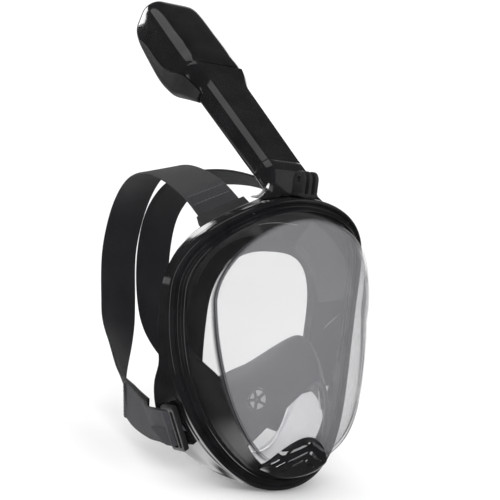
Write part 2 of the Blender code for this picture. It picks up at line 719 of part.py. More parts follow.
def make_camera_mount():
    mount = box("camera_mount", (-9.5, MOUNT_Y - 7.4, MOUNT_FOOT_Z), (9.5, MOUNT_Y + 7.4,
                                                                      MOUNT_FOOT_Z + 2.6),
                satin_black())
    for number in (-1, 0, 1):
        middle = number * FINGER_PITCH
        finger = add_mesh(f"finger_{number + 2}", *loft(finger_rings(middle - FINGER / 2,
                                                                    middle + FINGER / 2), closed=True),
                          None)
        cut(mount, finger, "UNION")
    boss = turned("nut_boss", [(PIN_RADIUS, 0), (4.8, 0), (4.8, 2.2), (PIN_RADIUS, 2.2)],
                  (FINGER_PITCH + FINGER / 2 - 0.2, MOUNT_Y, MOUNT_PIN_Z), (1, 0, 0), sides=24)
    cut(mount, boss, "UNION")


# ---------------------------------------------------------------- harness

def ribbon(name, route, normals, width_at, thickness, made_of, steps, mirror):
    """A flat band along a smooth curve. Each route point has its own outward normal."""
    rings = []
    for i in range(steps + 1):
        place = i / steps
        middle = curve_point(route, place)
        ahead = curve_point(route, min(place + 0.01, 1)) - curve_point(route, max(place - 0.01, 0))
        ahead.normalize()
        out = curve_point(normals, place)
        out = (out - ahead * out.dot(ahead)).normalized()
        across = ahead.cross(out) * width_at(place) / 2
        half = out * thickness / 2
        ring = [middle + across + half, middle - across + half, middle - across - half,
                middle + across - half]
        rings.append([Vector((p.x * mirror, p.y, p.z)) for p in ring])
    return add_mesh(name, *loft(rings), made_of, smooth_angle=40)


STRAP_ROUTE = [(-50, 4, 100), (-47, 53, 119), (-38, 124, 128), (-25, 188, 117), (-19.7, 224, 86),
               (-19.7, 235, 40), (-20.5, 223, -10), (-27, 200, -44), (-43, 156, -72), (-52, 110, -80),
               (-60, 70, -82)]
STRAP_NORMALS = [(-0.5, 0, 0.86), (-0.45, -0.1, 0.88), (-0.3, 0.1, 0.95), (-0.12, 0.5, 0.86),
                 (0, 0.9, 0.43), (0, 1, 0), (0, 0.97, -0.25), (-0.15, 0.9, -0.3),
                 (-0.65, 0.6, -0.35), (-0.95, 0.2, -0.15), (-0.97, 0.15, -0.1)]


def strap_width(place):
    """Full width over the head, narrowing to the strand that passes under the tab."""
    narrow = min(max((place - 0.62) / 0.22, 0), 1)
    return BAND_WIDTH - 18 * narrow * narrow * (3 - 2 * narrow)


def jaw_wall(share, angle=None):
    """A point on the frame's outer wall at the loop, share of the way from its front to its rear."""
    t = math.radians(LOOP_ANGLE if angle is None else angle)
    depth, flare = frame_reach(t)
    bend = 0.4 * flare * min(share / 0.6, 1) + 0.6 * flare * max((share - 0.6) / 0.4, 0)
    return ring_point(t, 0.4 - bend, FLANGE_FRONT - share * depth)


def jaw_anchor():
    """Where the lower loop stands on the frame's jaw: centre, outward, rearward and upward axes."""
    front, back = jaw_wall(0.25), jaw_wall(0.72)
    rear = (back - front).normalized()
    up = jaw_wall(0.5, LOOP_ANGLE - 6) - jaw_wall(0.5, LOOP_ANGLE + 6)
    up = (up - rear * up.dot(rear)).normalized()
    out = up.cross(rear)
    out = out if out.x < 0 else -out
    return (front + back) / 2 + out * 3.3, out, rear, up


def make_harness():
    centre, out, rear, _ = jaw_anchor()
    lip = jaw_wall(1.0) + out * 2.6
    tab_route = [(-60, 112, -82), (-68, 78, -84), (-75, 44, -84), lip + rear * 4, centre + rear * 9.5]
    tab_normals = [(-0.97, 0.2, -0.15), (-0.97, 0.17, -0.12), (-0.95, 0.16, -0.25), out, out]
    for mirror, word in ((1, "right"), (-1, "left")):
        ribbon(f"head_strap_{word}", STRAP_ROUTE, STRAP_NORMALS, strap_width, BAND_THICKNESS,
               elastic(), 44, mirror)
        ribbon(f"strap_tab_{word}", tab_route, tab_normals, lambda place: TAB_WIDTH, 3.0,
               elastic(), 10, mirror)
        make_upper_clip(word, mirror)
        make_lower_loop(word, mirror)


def placed_box(name, low, high, centre, axes, made_of, mirror, bevel=0.6):
    """A box whose local X, Y and Z are the given axes."""
    turn = Matrix(axes).transposed()
    (x0, y0, z0), (x1, y1, z1) = low, high
    rings = [[(x0, y0, z), (x1, y0, z), (x1, y1, z), (x0, y1, z)] for z in (z0, z1)]
    rings = [[turn @ Vector(p) + Vector(centre) for p in ring] for ring in rings]
    rings = [[Vector((p.x * mirror, p.y, p.z)) for p in ring] for ring in rings]
    obj = add_mesh(name, *loft(rings), made_of, smooth_angle=30)
    if bevel:
        modifier = obj.modifiers.new("edges", "BEVEL")
        modifier.width = bevel * MM
    return obj


def make_upper_clip(word, mirror):
    """The buckle behind the frame's brow that holds the strap's upper end."""
    centre, rear = Vector(STRAP_ROUTE[0]), Vector((0.05, 0.93, 0.36)).normalized()
    out = Vector(STRAP_NORMALS[0])
    out = (out - rear * out.dot(rear)).normalized()
    axes = (out, rear, out.cross(rear))
    clip = placed_box(f"upper_strap_clip_{word}", (-4.6, -11, -22), (4.6, 4, 22), centre, axes,
                      satin_black(), mirror)
    slot = placed_box(f"upper_slot_{word}", (-2.0, -2, -19.6), (2.0, 9, 19.6), centre, axes, None,
                      mirror, 0)
    arm = placed_box(f"upper_arm_{word}", (-1.6, -14, -11), (1.6, 9, 11), (-46.4, -11, 102.0),
                     (Vector((-0.47, 0, 0.883)), Vector((0, 1, 0)), Vector((-0.883, 0, -0.47))),
                     None, mirror, 0)
    cut(clip, arm, "UNION")
    cut(clip, slot)


def make_lower_loop(word, mirror):
    """The loop on the frame's jaw that the strap's tab folds round."""
    centre, *axes = jaw_anchor()
    loop = placed_box(f"lower_strap_loop_{word}", (-2.6, -8, -20.5), (2.6, 8, 20.5), centre, axes,
                      satin_black(), mirror)
    slot = placed_box(f"lower_slot_{word}", (-8, -1.2, -17.4), (8, 4.4, 17.4), centre, axes, None,
                      mirror, 0)
    cut(loop, slot)


# ---------------------------------------------------------------- assembly

def clear_scene():
    for obj in list(bpy.data.objects):
        bpy.data.objects.remove(obj)


def make_snorkel_frame():
    empty = bpy.data.objects.new("snorkel_frame", None)
    bpy.context.scene.collection.objects.link(empty)
    empty.location = TUBE_FOOT * MM
    empty.rotation_euler = (-TUBE_LEAN, 0, 0)
    bpy.context.view_layer.update()
    return empty


def main():
    clear_scene()
    screw_holes = make_frame_screws()
    chin_hole = make_chin_valve()
    make_lens(screw_holes, chin_hole)
    make_bezel(screw_holes)
    make_rear_frame(screw_holes)
    make_face_skirt(screw_holes)
    make_nose_divider(make_inhale_valves())
    make_chin_cover()
    snorkel = make_snorkel_frame()
    make_socket(snorkel)
    make_tube(snorkel)
    make_head(snorkel)
    make_dry_top(snorkel)
    make_release_button(snorkel)
    make_camera_mount()
    make_harness()


main()
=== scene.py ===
"""Full-face snorkel mask: fine surfaces, materials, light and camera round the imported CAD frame.

Lengths are in millimetres in the row frame and become metres where a mesh is made. +Z is up, the
wearer looks along -Y, and the wearer's left is +X."""

import math

import bmesh
import bpy
from mathutils import Matrix, Vector


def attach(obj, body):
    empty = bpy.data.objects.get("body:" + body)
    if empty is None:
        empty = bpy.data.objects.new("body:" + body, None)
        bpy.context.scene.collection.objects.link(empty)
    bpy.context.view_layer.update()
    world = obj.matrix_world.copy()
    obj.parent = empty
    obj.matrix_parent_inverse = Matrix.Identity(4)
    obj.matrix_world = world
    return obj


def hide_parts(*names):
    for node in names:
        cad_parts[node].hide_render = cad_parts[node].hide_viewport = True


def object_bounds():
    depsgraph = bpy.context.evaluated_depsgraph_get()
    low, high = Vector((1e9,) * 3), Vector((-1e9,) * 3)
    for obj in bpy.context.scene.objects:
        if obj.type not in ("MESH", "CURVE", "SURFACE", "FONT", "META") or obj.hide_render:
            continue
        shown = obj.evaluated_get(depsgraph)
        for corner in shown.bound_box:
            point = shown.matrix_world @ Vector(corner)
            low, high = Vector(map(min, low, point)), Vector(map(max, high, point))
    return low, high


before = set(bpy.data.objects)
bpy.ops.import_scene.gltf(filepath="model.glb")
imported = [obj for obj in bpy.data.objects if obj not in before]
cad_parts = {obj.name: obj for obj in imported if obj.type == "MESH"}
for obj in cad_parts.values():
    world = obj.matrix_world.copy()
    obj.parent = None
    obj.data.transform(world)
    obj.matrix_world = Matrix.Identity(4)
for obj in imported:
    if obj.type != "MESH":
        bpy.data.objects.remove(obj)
cad_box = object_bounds()

MM = 0.001

# The ring's outline, as in the CAD.
HALF_WIDTH, WIDE_Z, ABOVE, BELOW, JOWL = 96.5, 35.0, 85.7, 155.9, 0.13
RING_Y, SWEEP, CHIN_FORWARD, SIDE_TILT = -45.0, 40.5, 10.0, 0.65
LENS_FRONT, LENS_BACK = -2.6, -4.8
BEAD_FRONT, BEAD_BACK = -5.2, -8.0
FLANGE_FRONT, FLANGE_BACK = -8.4, -10.6
LENS_INSET, LENS_WALL, LENS_CENTRE_Z, LENS_FRONT_Y, CREASE = 11.0, 2.4, 10.0, -96.0, 0.89
OPENING_HALF_WIDTH, OPENING_TOP, OPENING_BOTTOM, OPENING_WIDE_Z = 52.0, 72.0, -104.0, 11.0
SEAL_WIDTH, SKIRT_WALL = 15.0, 2.4
CUP_START, CUP_END, CUP_FIRST = math.radians(210), math.radians(330), 6
INHALE_RADIUS = 9.4
CHIN_VALVE_Z, CHIN_HOLE_RADIUS = -84.0, 12.5
COVER_HALF_WIDTH, COVER_BULGE = 31.0, 8.0
TUBE_FOOT, TUBE_LEAN = Vector((0.0, 2.8, 139.2)), math.radians(58.5)
SPLIT_GAP = 0.35
FINGER, FINGER_PITCH, FINGER_RADIUS, PIN_RADIUS = 3.0, 6.2, 7.4, 2.6
MOUNT_Y, MOUNT_FOOT_Z, MOUNT_PIN_Z = -37.0, 121.6, 135.2
BAND_WIDTH, LOOP_ANGLE, TAB_WIDTH = 38.0, 225, 33.0
FINE = 256

SNORKEL = Matrix.Translation(TUBE_FOOT) @ Matrix.Rotation(-TUBE_LEAN, 4, "X")


# ---------------------------------------------------------------- materials

class Look:
    """A Principled material whose colour, roughness and bump come from procedural nodes."""

    def __init__(self, name, roughness, **settings):
        self.material = bpy.data.materials.new(name)
        self.material.use_nodes = True
        self.nodes = self.material.node_tree.nodes
        self.links = self.material.node_tree.links
        self.shader = self.nodes["Principled BSDF"]
        self.shader.inputs["Roughness"].default_value = roughness
        for socket, value in settings.items():
            self.shader.inputs[socket.replace("_", " ")].default_value = value
        self.place = self.nodes.new("ShaderNodeTexCoord")
        self.last_bump = None

    def node(self, kind, **settings):
        made = self.nodes.new(kind)
        for name, value in settings.items():
            if name in made.inputs:
                made.inputs[name].default_value = value
            else:
                setattr(made, name, value)
        return made

    def link(self, source, target):
        self.links.new(source, target)

    def noise(self, scale, detail=3.0, roughness=0.55, stretch=None, space="Object"):
        made = self.node("ShaderNodeTexNoise", Scale=scale, Detail=detail, Roughness=roughness)
        source = self.place.outputs[space]
        if stretch:
            mapping = self.node("ShaderNodeMapping", Scale=stretch)
            self.link(source, mapping.inputs["Vector"])
            source = mapping.outputs["Vector"]
        self.link(source, made.inputs["Vector"])
        return made.outputs["Fac"]

    def ramp(self, fac, stops):
        made = self.node("ShaderNodeValToRGB")
        elements = made.color_ramp.elements
        while len(elements) < len(stops):
            elements.new(0.5)
        for element, (place, colour) in zip(elements, stops):
            element.position = place
            element.color = (*colour, 1.0) if isinstance(colour, tuple) else (colour,) * 3 + (1.0,)
        self.link(fac, made.inputs["Fac"])
        return made.outputs["Color"]

    def span(self, fac, low, high):
        """A value that runs from low to high as fac runs from 0.3 to 0.7."""
        return self.map_range(fac, 0.3, 0.7, low, high)

    def colour(self, output):
        self.link(output, self.shader.inputs["Base Color"])

    def roughness(self, output):
        self.link(output, self.shader.inputs["Roughness"])

    def bump(self, height, strength, distance):
        made = self.node("ShaderNodeBump", Strength=strength, Distance=distance)
        self.link(height, made.inputs["Height"])
        if self.last_bump:
            self.link(self.last_bump, made.inputs["Normal"])
        self.last_bump = made.outputs["Normal"]
        self.link(self.last_bump, self.shader.inputs["Normal"])

    def calc(self, operation, *values, clamp=False):
        """A math node whose inputs are numbers or other nodes' outputs."""
        made = self.node("ShaderNodeMath", operation=operation, use_clamp=clamp)
        for socket, value in zip(made.inputs, values):
            if isinstance(value, (int, float)):
                socket.default_value = value
            else:
                self.link(value, socket)
        return made.outputs[0]

    def map_range(self, value, *limits):
        """limits are the lowest and highest value, and what each becomes."""
        made = self.node("ShaderNodeMapRange")
        for place, limit in enumerate(limits, 1):
            made.inputs[place].default_value = limit
        self.link(value, made.inputs["Value"])
        return made.outputs["Result"]

    def mottle(self, scale, dark, light, detail=3.0, end=0.7):
        """A base colour that wanders between dark and light."""
        self.colour(self.ramp(self.noise(scale, detail), ((0.3, dark), (end, light))))


def gloss_black():
    look = Look("gloss_black_abs", 0.09, Coat_Weight=0.35, Coat_Roughness=0.03, IOR=1.5)
    look.mottle(38, (0.0035, 0.0035, 0.004), (0.009, 0.009, 0.010), end=0.75)
    look.roughness(look.span(look.noise(70, 5), 0.06, 0.15))
    look.bump(look.noise(420, 2), 0.03, 0.0004)
    return look.material


def satin_black():
    look = Look("satin_black_abs", 0.42, IOR=1.5)
    look.mottle(55, (0.009, 0.009, 0.0095), (0.017, 0.017, 0.018), 4)
    look.roughness(look.span(look.noise(90, 4), 0.36, 0.52))
    look.bump(look.noise(2600, 2), 0.25, 0.0002)
    return look.material


def black_silicone():
    look = Look("black_silicone", 0.5, IOR=1.43, Sheen_Weight=0.12, Sheen_Roughness=0.5)
    look.mottle(45, (0.008, 0.008, 0.009), (0.020, 0.020, 0.021), 4)
    look.roughness(look.span(look.noise(60, 4), 0.42, 0.58))
    look.bump(look.noise(500, 2), 0.006, 0.0002)
    return look.material


def clear_polycarbonate():
    """Clear shell. The grey on its front panel is a painted reflection; a painted dark line at its
    creases and silhouette stands in for the light they bend.
    """
    look = Look("clear_polycarbonate", 0.03, IOR=2.2)
    front = look.node("ShaderNodeAttribute", attribute_name="front").outputs["Fac"]
    edge = look.node("ShaderNodeAttribute", attribute_name="edge").outputs["Fac"]
    grazing = look.node("ShaderNodeLayerWeight", Blend=0.5).outputs["Facing"]
    # The front panel's grey colour is a painted reflection; elsewhere the lens has a faint dark
    # tint.
    lens_tint_and_painted_reflection = look.ramp(front, ((0.0, (0.006, 0.006, 0.007)), (1.0, (0.29, 0.289, 0.304))))
    # A painted dark line along the crease, with less reflection there: painted shade for the light
    # the crease bends.
    dark = look.node("ShaderNodeMix", data_type="RGBA", blend_type="MIX")
    look.link(edge, dark.inputs["Factor"])
    look.link(lens_tint_and_painted_reflection, dark.inputs[6])
    dark.inputs[7].default_value = (0.01, 0.01, 0.012, 1.0)
    look.colour(dark.outputs[2])
    # Opacity of the faint tint, raised on the front panel to show the painted reflection.
    lens_opacity_and_painted_reflection = look.map_range(front, 0.0, 1.0, 0.15, 0.26)
    # Opaque towards grazing angles: a painted dark silhouette that stands in for bent light.
    painted_silhouette_shade = look.calc("MULTIPLY", look.calc("POWER", grazing, 7.0), 0.85)
    opaque = look.calc("MULTIPLY_ADD", edge, 1.0, look.calc("ADD", lens_opacity_and_painted_reflection, painted_silhouette_shade), clamp=True)
    look.link(opaque, look.shader.inputs["Alpha"])
    look.link(look.calc("MULTIPLY_ADD", edge, -0.5, 0.5), look.shader.inputs["Specular IOR Level"])
    look.roughness(look.span(look.noise(30, 5), 0.02, 0.06))
    look.bump(look.noise(14, 2), 0.03, 0.001)
    return look.material


def clear_silicone(name, alpha):
    look = Look(name, 0.3, IOR=1.43, Alpha=alpha)
    look.mottle(200, (0.84, 0.84, 0.85), (0.93, 0.93, 0.94), 3)
    look.bump(look.noise(900, 2), 0.1, 0.0002)
    return look.material


def white_plastic():
    look = Look("white_polypropylene", 0.4)
    look.mottle(80, (0.70, 0.70, 0.69), (0.80, 0.80, 0.79), 4)
    look.roughness(look.span(look.noise(120, 3), 0.32, 0.5))
    look.bump(look.noise(1200, 2), 0.12, 0.0002)
    return look.material


def grey_foam():
    look = Look("grey_foam", 0.9)
    cells = look.noise(900, 4)
    look.colour(look.ramp(cells, ((0.3, (0.12, 0.12, 0.125)), (0.7, (0.24, 0.24, 0.25)))))
    look.bump(cells, 0.7, 0.0006)
    return look.material


def stainless():
    look = Look("stainless_steel", 0.25, Metallic=1.0)
    look.mottle(120, (0.48, 0.48, 0.49), (0.62, 0.62, 0.63), 4)
    look.roughness(look.span(look.noise(300, 4), 0.18, 0.36))
    look.bump(look.noise(2500, 2), 0.15, 0.0001)
    return look.material


def elastic(name, dark, light):
    """Woven elastic: ribs across the band, warp threads along it, and a fuzz of fibre ends."""
    look = Look(name, 0.82, Sheen_Weight=0.12, Sheen_Roughness=0.4, IOR=1.35)
    split = look.node("ShaderNodeSeparateXYZ")
    look.link(look.place.outputs["UV"], split.inputs["Vector"])

    def wave(axis, pitch, shift=None):
        angle = look.calc("MULTIPLY", split.outputs[axis], 2 * math.pi / pitch)
        return look.calc("SINE", look.calc("ADD", angle, shift) if shift else angle)

    rib = wave("X", 0.0017)
    warp = wave("Y", 0.0012, look.calc("MULTIPLY", rib, 1.6))
    weave = look.calc("MULTIPLY", rib, warp)
    fuzz = look.noise(1400, 4, 0.7)
    mixed = look.calc("MULTIPLY_ADD", weave, 0.16, fuzz)
    total = look.calc("MULTIPLY_ADD", look.noise(26, 3, 0.6), 0.3, mixed)
    look.colour(look.ramp(total, ((0.4, dark), (0.95, light))))
    look.bump(weave, 0.55, 0.0004)
    look.bump(fuzz, 0.4, 0.0003)
    return look.material


def thread():
    look = Look("grey_thread", 0.7, Sheen_Weight=0.3)
    look.mottle(2500, (0.05, 0.05, 0.055), (0.10, 0.10, 0.11), 2)
    look.bump(look.noise(4000, 2), 0.4, 0.0001)
    return look.material


def pale_line():
    look = Look("pale_mould_line", 0.4)
    look.mottle(300, (0.28, 0.28, 0.29), (0.40, 0.40, 0.41), 2)
    return look.material


GLOSS, SATIN, SILICONE, LENS = gloss_black(), satin_black(), black_silicone(), clear_polycarbonate()
VALVE, CUP = clear_silicone("clear_silicone", 0.8), clear_silicone("clear_silicone_cup", 0.86)
WHITE, FOAM, STEEL = white_plastic(), grey_foam(), stainless()
BAND = elastic("black_elastic", (0.0035, 0.0035, 0.0045), (0.020, 0.020, 0.024))
FLAP = elastic("black_elastic_flap", (0.013, 0.013, 0.015), (0.060, 0.060, 0.068))
THREAD, PALE = thread(), pale_line()


# ---------------------------------------------------------------- mesh tools

def make(name, points, faces, look, body="mask", stands_for=(), slot=None, smooth=32, uvs=None,
         levels=None):
    """One piece from points in millimetres. levels is {attribute: value per point}."""
    mesh = bpy.data.meshes.new(name)
    mesh.from_pydata([Vector(p) * MM for p in points], [], faces)
    if uvs:
        layer = mesh.uv_layers.new(name="UVMap")
        for corner in mesh.loops:
            layer.data[corner.index].uv = uvs[corner.vertex_index]
    for key, values in (levels or {}).items():
        mesh.attributes.new(key, "FLOAT", "POINT").data.foreach_set("value", values)
    work = bmesh.new()
    work.from_mesh(mesh)
    bmesh.ops.recalc_face_normals(work, faces=work.faces)
    work.to_mesh(mesh)
    work.free()
    obj = bpy.data.objects.new(name, mesh)
    bpy.context.scene.collection.objects.link(obj)
    return dress(obj, look, body, stands_for, smooth)


def dress(obj, look, body="mask", stands_for=(), smooth=32):
    if look:
        obj.data.materials.clear()
        obj.data.materials.append(look)
        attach(obj, body)
        if stands_for:
            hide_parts(*stands_for)
    obj.data.shade_smooth()
    obj.data.set_sharp_from_angle(angle=math.radians(smooth))
    return obj


def settle(obj, smooth=32):
    """The object's modifiers, made part of its mesh."""
    bpy.context.view_layer.update()
    graph = bpy.context.evaluated_depsgraph_get()
    mesh = bpy.data.meshes.new_from_object(obj.evaluated_get(graph))
    obj.modifiers.clear()
    obj.data = mesh
    obj.data.shade_smooth()
    obj.data.set_sharp_from_angle(angle=math.radians(smooth))
    return obj


def combine(obj, others, operation="DIFFERENCE", smooth=32):
    """Boolean with each of the others, which are then removed."""
    for other in others:
        modifier = obj.modifiers.new("boolean", "BOOLEAN")
        modifier.operation = operation
        modifier.solver = "EXACT"
        modifier.object = other
    settle(obj, smooth)
    for other in others:
        bpy.data.objects.remove(other)
    return obj


def bevelled(obj, width, segments=3, angle=30, smooth=32):
    modifier = obj.modifiers.new("edges", "BEVEL")
    modifier.width = width * MM
    modifier.segments = segments
    modifier.limit_method = "ANGLE"
    modifier.angle_limit = math.radians(angle)
    modifier.harden_normals = False
    return settle(obj, smooth)


def loft(rings, closed=False):
    count = len(rings[0])
    points = [p for ring in rings for p in ring]
    faces = []
    for i in range(len(rings) if closed else len(rings) - 1):
        low, high = i * count, (i + 1) % len(rings) * count
        for j in range(count):
            k = (j + 1) % count
            faces.append((low + j, low + k, high + k, high + j))
    if not closed:
        faces.append(tuple(reversed(range(count))))
        faces.append(tuple(range(len(points) - count, len(points))))
    return points, faces


def curve_point(points, place):
    """A point on the smooth (Catmull-Rom) curve through the points. place runs from 0 to 1."""
    spans = len(points) - 1
    span = min(int(place * spans), spans - 1)
    t = place * spans - span
    a, b, c, d = (Vector(points[min(max(span + k, 0), spans)]) for k in (-1, 0, 1, 2))
    return 0.5 * (2 * b + (c - a) * t + (2 * a - 5 * b + 4 * c - d) * t ** 2
                  + (3 * b - a - 3 * c + d) * t ** 3)


def rounded_rectangle(half_x, half_y, radius, corner=6, along=0, front=None):
    """Outline with corners of one radius, or with another radius at the front (-y)."""
    points, rear = [], radius
    for quarter, (sx, sy) in enumerate(((1, 1), (-1, 1), (-1, -1), (1, -1))):
        radius = rear if sy > 0 or front is None else front
        for i in range(corner + 1):
            a = math.radians(90 * quarter + 90 * i / corner)
            points.append((sx * (half_x - radius) + radius * math.cos(a),
                           sy * (half_y - radius) + radius * math.sin(a)))
        if quarter in (0, 2):
            flat = half_x - radius
            points += [(sx * (flat - 2 * flat * k / (along + 1)), sy * half_y)
                       for k in range(1, along + 1)]
    return points


def tube_along(path, radius, sides=10, closed=False):
    """Points and faces of a round bead along a path of points."""
    rings = []
    for i, middle in enumerate(path):
        before = path[i - 1] if i or closed else path[0]
        after = path[(i + 1) % len(path)] if i + 1 < len(path) or closed else path[-1]
        ahead = (after - before).normalized()
        side = ahead.cross(Vector((0, 0.3, 1))).normalized()
        up = side.cross(ahead)
        rings.append([middle + radius * (side * math.cos(a) + up * math.sin(a))
                      for a in (2 * math.pi * k / sides for k in range(sides))])
    return loft(rings, closed)


def plate(name, outlines, half_thickness, axes, centre, mirror=1, rim=0.0):
    """A flat plate: the first outline is its edge and the others are holes, as (a, b) points in
    the plane of axes[1] and axes[2]. It is thickened along axes[0]."""
    curve = bpy.data.curves.new(name, "CURVE")
    curve.dimensions = "2D"
    curve.fill_mode = "BOTH"
    curve.extrude = (half_thickness - rim) * MM
    curve.bevel_depth = rim * MM
    curve.bevel_resolution = 2
    curve.offset = -rim * MM
    for outline in outlines:
        line = curve.splines.new("POLY")
        line.points.add(len(outline) - 1)
        for point, (a, b) in zip(line.points, outline):
            point.co = (a * MM, b * MM, 0, 1)
        line.use_cyclic_u = True
    drawn = bpy.data.objects.new(name + "_curve", curve)
    bpy.context.scene.collection.objects.link(drawn)
    bpy.context.view_layer.update()
    graph = bpy.context.evaluated_depsgraph_get()
    mesh = bpy.data.meshes.new_from_object(drawn.evaluated_get(graph))
    bpy.data.objects.remove(drawn)
    out, one, two = (Vector(axis) for axis in axes)
    for vertex in mesh.vertices:
        a, b, h = vertex.co
        p = Vector(centre) * MM + one * a + two * b + out * h
        vertex.co = (p.x * mirror, p.y, p.z)
    work = bmesh.new()
    work.from_mesh(mesh)
    bmesh.ops.remove_doubles(work, verts=work.verts, dist=1e-6)
    bmesh.ops.recalc_face_normals(work, faces=work.faces)
    work.to_mesh(mesh)
    work.free()
    obj = bpy.data.objects.new(name, mesh)
    bpy.context.scene.collection.objects.link(obj)
    return obj


def circle(radius, a=0.0, b=0.0, sides=48):
    return [(a + radius * math.cos(t), b + radius * math.sin(t)) for t in angles(sides)]


def capsule(ax, ay, bx, by, radius, sides=8):
    """Outline of a slot with round ends from a to b."""
    turn = math.atan2(by - ay, bx - ax)
    points = []
    for (x, y), start in (((bx, by), turn - math.pi / 2), ((ax, ay), turn + math.pi / 2)):
        points += [(x + radius * math.cos(start + math.pi * i / sides),
                    y + radius * math.sin(start + math.pi * i / sides)) for i in range(sides + 1)]
    return points


def bump_at(value, middle, width):
    return math.exp(-((value - middle) / width) ** 2)


def ease(value):
    value = min(max(value, 0.0), 1.0)
    return value * value * (3 - 2 * value)


# ---------------------------------------------------------------- ring, lens and frame

def angles(steps=FINE):
    return [2 * math.pi * i / steps for i in range(steps)]


def outline(t):
    low = max(-math.sin(t), 0.0)
    swell = 1 + JOWL * low ** 2
    reach = ABOVE if math.sin(t) > 0 else BELOW
    x = HALF_WIDTH * math.cos(t) * swell
    z = WIDE_Z + reach * math.sin(t)
    y = RING_Y + SWEEP * abs(x / HALF_WIDTH) ** 3 - CHIN_FORWARD * low ** 2
    dx = HALF_WIDTH * (-math.sin(t) * swell - 2 * JOWL * low * math.cos(t) ** 2)
    dz = reach * math.cos(t)
    size = math.hypot(dx, dz)
    return (x, y, z), (dz / size, -dx / size)


def ring_point(t, inset, forward):
    (x, y, z), (nx, nz) = outline(t)
    return Vector((x - inset * nx, y - forward - SIDE_TILT * nx ** 2 * inset, z - inset * nz))


def ring_sweep(name, section, look, stands_for, slot, smooth=32):
    rings = [[ring_point(t, u, v) for u, v in (section(t) if callable(section) else section)]
             for t in angles()]
    return make(name, *loft(rings, closed=True), look, "mask", stands_for, slot, smooth)


def crease_at(t):
    """How far out the lens's crease lies. It nears the ring at the brow."""
    return CREASE + 0.065 * max(math.sin(t), 0.0) ** 1.4


def lens_point(reach, t, wall=0.0):
    crease = crease_at(t)
    rim = ring_point(t, LENS_INSET + 0.9 * wall, 4.0 - 0.7 * wall)
    nx, low = outline(t)[1][0], max(-math.sin(t), 0.0)
    crease_y = rim.y - 8 - 17 * nx ** 2 - 34 * low * (1 - low)
    front_y = LENS_FRONT_Y + wall
    outer = crease_y + (rim.y - crease_y) * (reach - crease) / (1 - crease)
    inner = front_y + (crease_y - front_y) * min(reach / crease, 1) ** 2.6
    share = ease((reach - crease + 0.006) / 0.012)
    y = inner + (outer - inner) * share if reach < crease + 0.006 else outer
    return Vector((reach * rim.x, y, LENS_CENTRE_Z + reach * (rim.z - LENS_CENTRE_Z)))


def lens_depth(x, z, wall=0.0):
    aim = math.atan2(z - LENS_CENTRE_Z, x)
    low, high = (-math.pi / 2, math.pi / 2) if x >= 0 else (math.pi / 2, 1.5 * math.pi)
    if x < 0 and aim < 0:
        aim += 2 * math.pi
    for _ in range(24):
        middle = (low + high) / 2
        rim = lens_point(1.0, middle, wall)
        angle = math.atan2(rim.z - LENS_CENTRE_Z, rim.x)
        if x < 0 and angle < 0:
            angle += 2 * math.pi
        low, high = (middle, high) if angle < aim else (low, middle)
    rim = lens_point(1.0, low, wall)
    size = math.hypot(rim.x, rim.z - LENS_CENTRE_Z)
    return lens_point(math.hypot(x, z - LENS_CENTRE_Z) / size, low, wall).y


def make_lens():
    def reach_at(t, step):
        crease = crease_at(t)
        if step < 7:
            return 1 - (1 - crease) * step / 6
        if step < 11:
            return crease - 0.003 * (step - 6)
        return (crease - 0.03) * (1 - (step - 11) / 20)

    steps = list(range(31))
    rings = [[ring_point(t, u, v) for t in angles()]
             for u, v in ((3.0, LENS_BACK), (3.0, LENS_FRONT), (8.2, LENS_FRONT), (9.2, -1.6))]
    front, edge = [0.0] * (4 * FINE), [0.0] * (4 * FINE)
    for wall, order in ((0.0, steps), (LENS_WALL, steps[::-1])):
        for step in order:
            rings.append([lens_point(reach_at(t, step), t, wall) for t in angles()])
            for t in angles():
                side, inward = abs(outline(t)[1][0]), crease_at(t) - reach_at(t, step)
                # front marks the front panel, which carries the painted grey reflection.
                front.append(ease((inward + 0.008) / 0.02))
                # edge marks the painted dark line along the crease, where the lens bends light.
                edge.append(bump_at(inward, 0.0, 0.004) * ease(side * 1.6 - 0.3))
        if wall == 0.0:
            poles = len(rings)
    rings.append([ring_point(t, 10.2, LENS_BACK) for t in angles()])
    front += [0.0] * FINE
    edge += [0.0] * FINE
    points, faces = [p for ring in rings for p in ring], []
    for i in range(len(rings)):
        if i == poles - 1:
            continue
        low, high = i * FINE, (i + 1) % len(rings) * FINE
        faces += [(low + j, low + (j + 1) % FINE, high + (j + 1) % FINE, high + j)
                  for j in range(FINE)]
    for ring, wall in ((poles - 1, 0.0), (poles, LENS_WALL)):
        points.append(lens_point(0, 0, wall))
        front.append(1.0)
        edge.append(0.0)
        faces += [(ring * FINE + j, ring * FINE + (j + 1) % FINE, len(points) - 1)
                  for j in range(FINE)]
    lens = make("clear_lens", points, faces, LENS, "mask", ("lens",), "clear_polycarbonate", 28,
                levels={"front": front, "edge": edge})
    centre, normal = chin_valve_frame()
    hole = rod("chin_hole", centre, normal, CHIN_HOLE_RADIUS, -8, 8, 48)
    return combine(lens, [hole], smooth=28)


def rod(name, centre, axis, radius, start, end, sides=32):
    turn = Vector(axis).to_track_quat("Z", "Y").to_matrix()
    rings = [[Vector(centre) + turn @ Vector((r * math.cos(a), r * math.sin(a), h))
              for a in (2 * math.pi * i / sides for i in range(sides))]
             for r, h in ((radius, start), (radius, end))]
    return make(name, *loft(rings), None)


